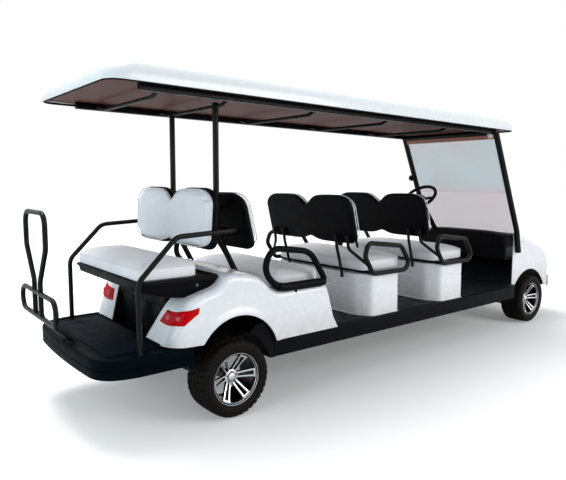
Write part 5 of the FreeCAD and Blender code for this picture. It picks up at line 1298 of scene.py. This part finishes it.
FACE_ROOT, FACE_RISE, FACE_POWER = 0.037, 0.047, 1.25
NUT_CIRCLE, NUT_OUT, NUT_SIZE, NUT_HEIGHT = 0.0368, 0.0385, 0.0048, 0.006


def spokes(hand):
    """Twelve bars: radius, place beside the pair's middle, width and depth each run from root to tip."""
    s = np.linspace(0, 1, 14)[None, :, None]
    pair = np.repeat(SPOKE_TURNS, 2)[:, None, None]
    lean = np.tile([-1.0, 1.0], 6)[:, None, None]
    along, aside, width, depth = (root + (tip - root) * s for root, tip in SPOKE_ENDS)
    face = FACE_ROOT + FACE_RISE * s ** FACE_POWER
    u = lean * aside + SECTION_U * width
    x, z = along * np.cos(pair) - u * np.sin(pair), along * np.sin(pair) + u * np.cos(pair)
    bars = np.stack(np.broadcast_arrays(x, (face - SECTION_D * depth) * hand, z), axis=-1)
    return [capped(bar) for bar in bars]


def bridges(hand):
    """A short web that closes each pair's slot at the barrel: one section, the same at every place across."""
    u = np.linspace(-0.028, 0.028, 8)[:, None]
    along, high = np.array([[0.1365, 0.1365, 0.1455, 0.1455], [0.068, 0.0805, 0.0840, 0.068]])
    return [capped(np.stack(np.broadcast_arrays(along * math.cos(pair) - u * math.sin(pair), high * hand,
                                                along * math.sin(pair) + u * math.cos(pair)), axis=-1))
            for pair in SPOKE_TURNS]


for wheel, side in WHEEL_SIDES.items():
    body = f"wheel_{wheel}"
    middle = corners_of(f"rim_{wheel}")[2]
    flip = np.array([1.0, side, 1.0])
    places, faces = joined([skin(turned(BARREL) * flip, wrap_rows=True), skin(turned(HUB, 64) * flip),
                            *spokes(side), *bridges(side)])
    build(f"casting_{wheel}", (places + middle, faces), "wheel_metal", body=body, replaced=f"rim_{wheel}",
          sharp=32)
    nuts = [button(middle + (NUT_CIRCLE * math.cos(turn), NUT_OUT * side, NUT_CIRCLE * math.sin(turn)),
                   (0, side, 0), NUT_SIZE, NUT_HEIGHT) for turn in full_turn(5) + 0.3]
    build(f"wheel_nuts_{wheel}", joined(nuts), "steel", wheel_paint, body=body)

# %% [markdown]
# ## Sill ends
# Between each rear tyre and the side sill a black apron follows the tyre's curve, so
# that no daylight shows there. It is a flat profile, an arc and two straight edges,
# carried across the cart.

# %% Aprons behind the rear tyres
APRON_R, APRON_WIDE = 0.282, np.array([0.583, 0.585, 0.345, 0.343])


def carried_across(outline, y, shares):
    """An outline in x and z carried across the cart: one ring per y, shrunk to a share about its middle."""
    middle = outline.mean(axis=0)
    flat = middle + (outline - middle) * np.array(shares)[:, None, None]
    wide = np.broadcast_to(np.array(y)[:, None, None], flat[..., :1].shape)
    return capped(np.concatenate([flat[..., :1], wide, flat[..., 1:]], axis=-1))


def apron(side):
    """The profile, an arc about the axle and the sill's end face, carried across on one side of the cart."""
    turn = np.radians(np.linspace(15, 66, 24))
    arc = np.column_stack([AXLE_X + APRON_R * np.cos(turn), TREAD_R + APRON_R * np.sin(turn)])
    edge = np.array([(-1.40, 0.545), (-1.256, 0.545), (-1.256, 0.308), (-1.27, 0.308)])
    return carried_across(evenly(np.vstack([arc, edge]), 120), side * APRON_WIDE, (0.97, 1.0, 1.0, 0.97))


build("sill_aprons", joined([apron(1), apron(-1)]), "black_plastic", sharp=35)

# %% [markdown]
# ## Dash top
# Above the dash runs a padded black hood. Seen from behind, its top edge is a shallow
# arch that drops at both ends, and the screen stands just in front of it.

# %% Crown the dash
HOOD_REAR, HOOD_FRONT, HOOD_SPINE, HOOD_HALF = 1.600, 1.758, 1.70, 0.512
HOOD_FOOT, HOOD_DROP = 0.80, 0.038
HOOD_LEVELS = ((0.0, HOOD_FOOT), (0.0, 0.895), (0.002, 0.910), (0.008, 0.922), (0.018, 0.931),
               (0.030, 0.936), (0.045, 0.939), (0.060, 0.940))


def dash_hood():
    """Rings of a rounded plan that rise and shrink; the top falls with the fourth power of y."""
    rings = []
    for inset, z in HOOD_LEVELS:
        plan = box_plan(HOOD_REAR + inset, HOOD_FRONT - inset * 0.3, HOOD_HALF - inset * 0.6, 0.03, 0.03,
                        count=200)
        drop = HOOD_DROP * np.clip(np.abs(plan[:, 1]) / HOOD_HALF, 0, 1) ** 4
        rings.append(np.column_stack([plan, z - drop * np.clip((z - HOOD_FOOT) / 0.1, 0, 1)]))
    spine = rings[-1] * np.array([0.0, 1.0, 1.0]) + np.array([HOOD_SPINE, 0.0, 0.004])
    under = rings[0] * np.array([0.0, 1.0, 1.0]) + np.array([HOOD_SPINE, 0.0, 0.0])
    return np.stack([under, *rings, spine])


build("dash_hood", skin(dash_hood()), "black_plastic", sharp=40)

# %% [markdown]
# ## Steering wheel
# The rim is a thick moulded ring on a tilted column. Three broad flat spokes fall from
# the ring to a domed pad, and the ring's grip is fatter than a plain tube.

# %% Ring, spokes and pad
TILT, RING_R, GRIP_R = math.radians(40), 0.1715, 0.0165
WHEEL_MIDDLE = np.array([1.357, 0.330, 1.262])
WHEEL_AXES = (unit(np.array([math.cos(TILT), 0.0, math.sin(TILT)])), np.array([0.0, 1.0, 0.0]),
              np.array([-math.sin(TILT), 0.0, math.cos(TILT)]))


def on_wheel(radius, turn, rise):
    """Place on the tilted wheel from its radius, turn and height along the column."""
    radius, turn, rise = np.broadcast_arrays(radius, turn, rise)
    flat = np.stack([radius * np.cos(turn), radius * np.sin(turn), rise], axis=-1)
    return WHEEL_MIDDLE + flat @ np.stack(WHEEL_AXES)


wheel_parts = [tube(on_wheel(RING_R, full_turn(120), 0.0), GRIP_R, closed=True)]
for spoke_turn in (math.pi / 2, -math.pi / 2, math.pi):
    s = np.linspace(0, 1, 12)[:, None]
    across = np.array([-0.5, 0.5, 0.5, -0.5])[None] * (0.046 - 0.018 * np.sin(s * math.pi / 2))
    reach = 0.035 + 0.130 * s + 0 * across
    rise = -0.030 * (1 - s) ** 2 + np.array([0.006, 0.006, -0.006, -0.006])[None]
    turns = spoke_turn + np.arctan2(across, reach)
    wheel_parts.append(capped(on_wheel(np.hypot(reach, across), turns, rise)))
pad_radius = np.array([0.0, 0.046, 0.052, 0.052, 0.046, 0.030, 0.0])[:, None]
pad_rise = np.array([-0.046, -0.046, -0.036, -0.020, -0.010, -0.004, -0.002])[:, None]
wheel_parts.append(skin(on_wheel(pad_radius, full_turn(48)[None], pad_rise)))
build("steering_rim", joined(wheel_parts), "black_plastic", body="steering_wheel", replaced="steering_wheel",
      sharp=40)

# %% [markdown]
# ## Third row armrests
# The third row's armrests are fat padded loops on the body's edge. The loop is one tube
# round a softly bent five-sided line, with a thicker rest along its foot and a short
# post that carries it.

# %% Padded loops
ARM_SIZE, REST_SIZE, ARM_OUT, SOLID_ARM_SIZE = 0.0205, 0.0285, 0.588, 0.021
ARM_BENDS = np.array([(-0.300, 0.756), (-0.404, 0.872), (-0.345, 1.014), (-0.020, 0.968), (0.118, 0.758)])
ARM_FRONT = corners_of("armrests_third")[1][0] - ARM_BENDS[-1, 0] - SOLID_ARM_SIZE


def arm_loop():
    """The loop's centre line in x and z: five corners, each rounded by its own radius."""
    radius = np.array([0.105, 0.085, 0.075, 0.040, 0.095])
    return evenly(rounded(np.vstack([ARM_BENDS, ARM_BENDS[:2]]), radius)[:-1], 160)


def beside(line, side):
    """A line in x and z, measured from the armrests' front, at its place beside the seat."""
    return np.column_stack([line[:, 0] + ARM_FRONT, np.full(len(line), side * ARM_OUT), line[:, 1]])


rest_line = spread(np.array([(-0.290, 0.762), (-0.230, 0.752), (0.080, 0.752), (0.100, 0.757)]), 30)
arm_parts = []
for side in (1, -1):
    arm_parts.append(tube(beside(arm_loop(), side), ARM_SIZE, closed=True))
    arm_parts.append(tube(beside(rest_line, side), REST_SIZE, sides=18))
    post = np.array([(ARM_FRONT - 0.14, side * 0.575, 0.728), (ARM_FRONT - 0.14, side * 0.575, 0.700)])
    arm_parts.append(tube(post, 0.016, sides=14))
build("third_armrests", joined(arm_parts), "black_plastic", replaced="armrests_third", sharp=45)

# %% [markdown]
# ## Roof details
# A brown header closes the gap between the screen and the roof, and a small round lamp
# with a pale lens sits at its right end. Both sit just under the roof's front edge.

# %% Header and small lamp
header_section = evenly(np.array([(1.340, 1.815), (1.348, 1.815), (1.350, 1.870), (1.356, 1.902),
                                  (1.322, 1.902), (1.326, 1.850)]), 60)
header = carried_across(header_section, (-0.535, -0.53, 0.53, 0.535), (0.9, 1.0, 1.0, 0.9))
build("screen_header", header, "roof_liner", header_brown, sharp=40)
build("roof_lamp", button((1.322, -0.47, 1.850), (-1, -0.1, -0.2), 0.028, 0.014), "lamp_clear", pale_lens)

# %% [markdown]
# ## Roof frame
# Two rails run along the roof, and thin bows cross between them. Each bow starts at a
# rail, bends down over a hand's width, and hangs a little below the liner. A bow is one
# tube along a bent line, a rail one rounded square carried along the roof's slope.

# %% Rails and bows
(RAIL_REAR, *_), (RAIL_FRONT, *_), _ = corners_of("roof_rails")
RAIL_OUT, RAIL_SIZE, BOW_DROP = 0.500, 0.042, 0.034
BOW_PLACES = (-1.958, -1.499, -0.794, -0.041, 0.713)


def rail_top(x):
    """Height of a rail's top: the roof's own slope, just under the liner."""
    return roof_lip(x) + 0.0115


def rail(side):
    """A rounded square whose middle follows the slope; both ends shrink to a cap."""
    square = np.array([(0, 1), (-1, 1), (-1, -1), (1, -1), (1, 1), (0, 1)]) * RAIL_SIZE / 2
    section = evenly(rounded(square, np.full(4, 0.006))[:-1], 48)
    between = np.linspace(RAIL_REAR + 0.01, RAIL_FRONT - 0.01, 20)
    x = np.array([RAIL_REAR - 0.004, RAIL_REAR, *between, RAIL_FRONT])
    shrink = np.ones(len(x))
    shrink[[0, -1]] = 0.8
    y = side * RAIL_OUT + section[None, :, 0] * shrink[:, None]
    z = rail_top(x)[:, None] - RAIL_SIZE / 2 + section[None, :, 1] * shrink[:, None]
    return capped(np.stack(np.broadcast_arrays(x[:, None], y, z), axis=-1))


def bow_tube(x):
    """Out at the rail, down over a short bend, level across, and up again."""
    start = np.array([-RAIL_OUT, rail_top(x) - 0.016])
    half = start + np.array([(0.0, 0.0), (0.075, -0.006), (0.13, -BOW_DROP)])
    line = np.vstack([half, half[::-1] * np.array([-1.0, 1.0])])
    line = np.column_stack([np.full(6, x), line])
    return tube(spread(rounded(line, np.array([0.05, 0.04, 0.04, 0.05])), 60), 0.0125, sides=14)


build("roof_frame", joined([rail(1), rail(-1), *(bow_tube(x) for x in BOW_PLACES)]), "frame_metal",
      replaced="roof_rails", sharp=35)

# %% [markdown]
# ## Small parts at the front
# Each headlamp sits in a black bezel, a thin ring in the slope of the nose, and a small
# round knob stands on the left pillar, where a mirror would be clamped.

# %% Bezels and knob
LAMP_OUT, LAMP_UP, BEZEL_R = np.array([0.718, 0.0, 0.696]), np.array([-0.696, 0.0, 0.718]), 0.0605
bezel_turns = full_turn(72)[:, None]
bezel = corners_of("head_lights")[2] + LAMP_OUT * 0.017 + BEZEL_R * (
    np.cos(bezel_turns) * np.array([0.0, 1.0, 0.0]) + np.sin(bezel_turns) * LAMP_UP)
build("lamp_bezels", joined([tube(bezel + np.array([0.0, side * 0.380, 0.0]), 0.006, closed=True, sides=12)
                             for side in (1, -1)]), "black_plastic")

PILLAR_X, KNOB_X, KNOB_Y, KNOB_Z, KNOB_SIZE = 1.525, 1.495, 0.55, 1.464, 0.031
knob_arm = tube(np.array([(PILLAR_X, KNOB_Y, KNOB_Z), (KNOB_X + 0.003, KNOB_Y, KNOB_Z)]), 0.007, sides=12)
knob = button((KNOB_X, KNOB_Y, KNOB_Z), (-1, -0.3, 0), KNOB_SIZE, 0.016)
build("pillar_knob", joined([knob_arm, knob]), "black_plastic")
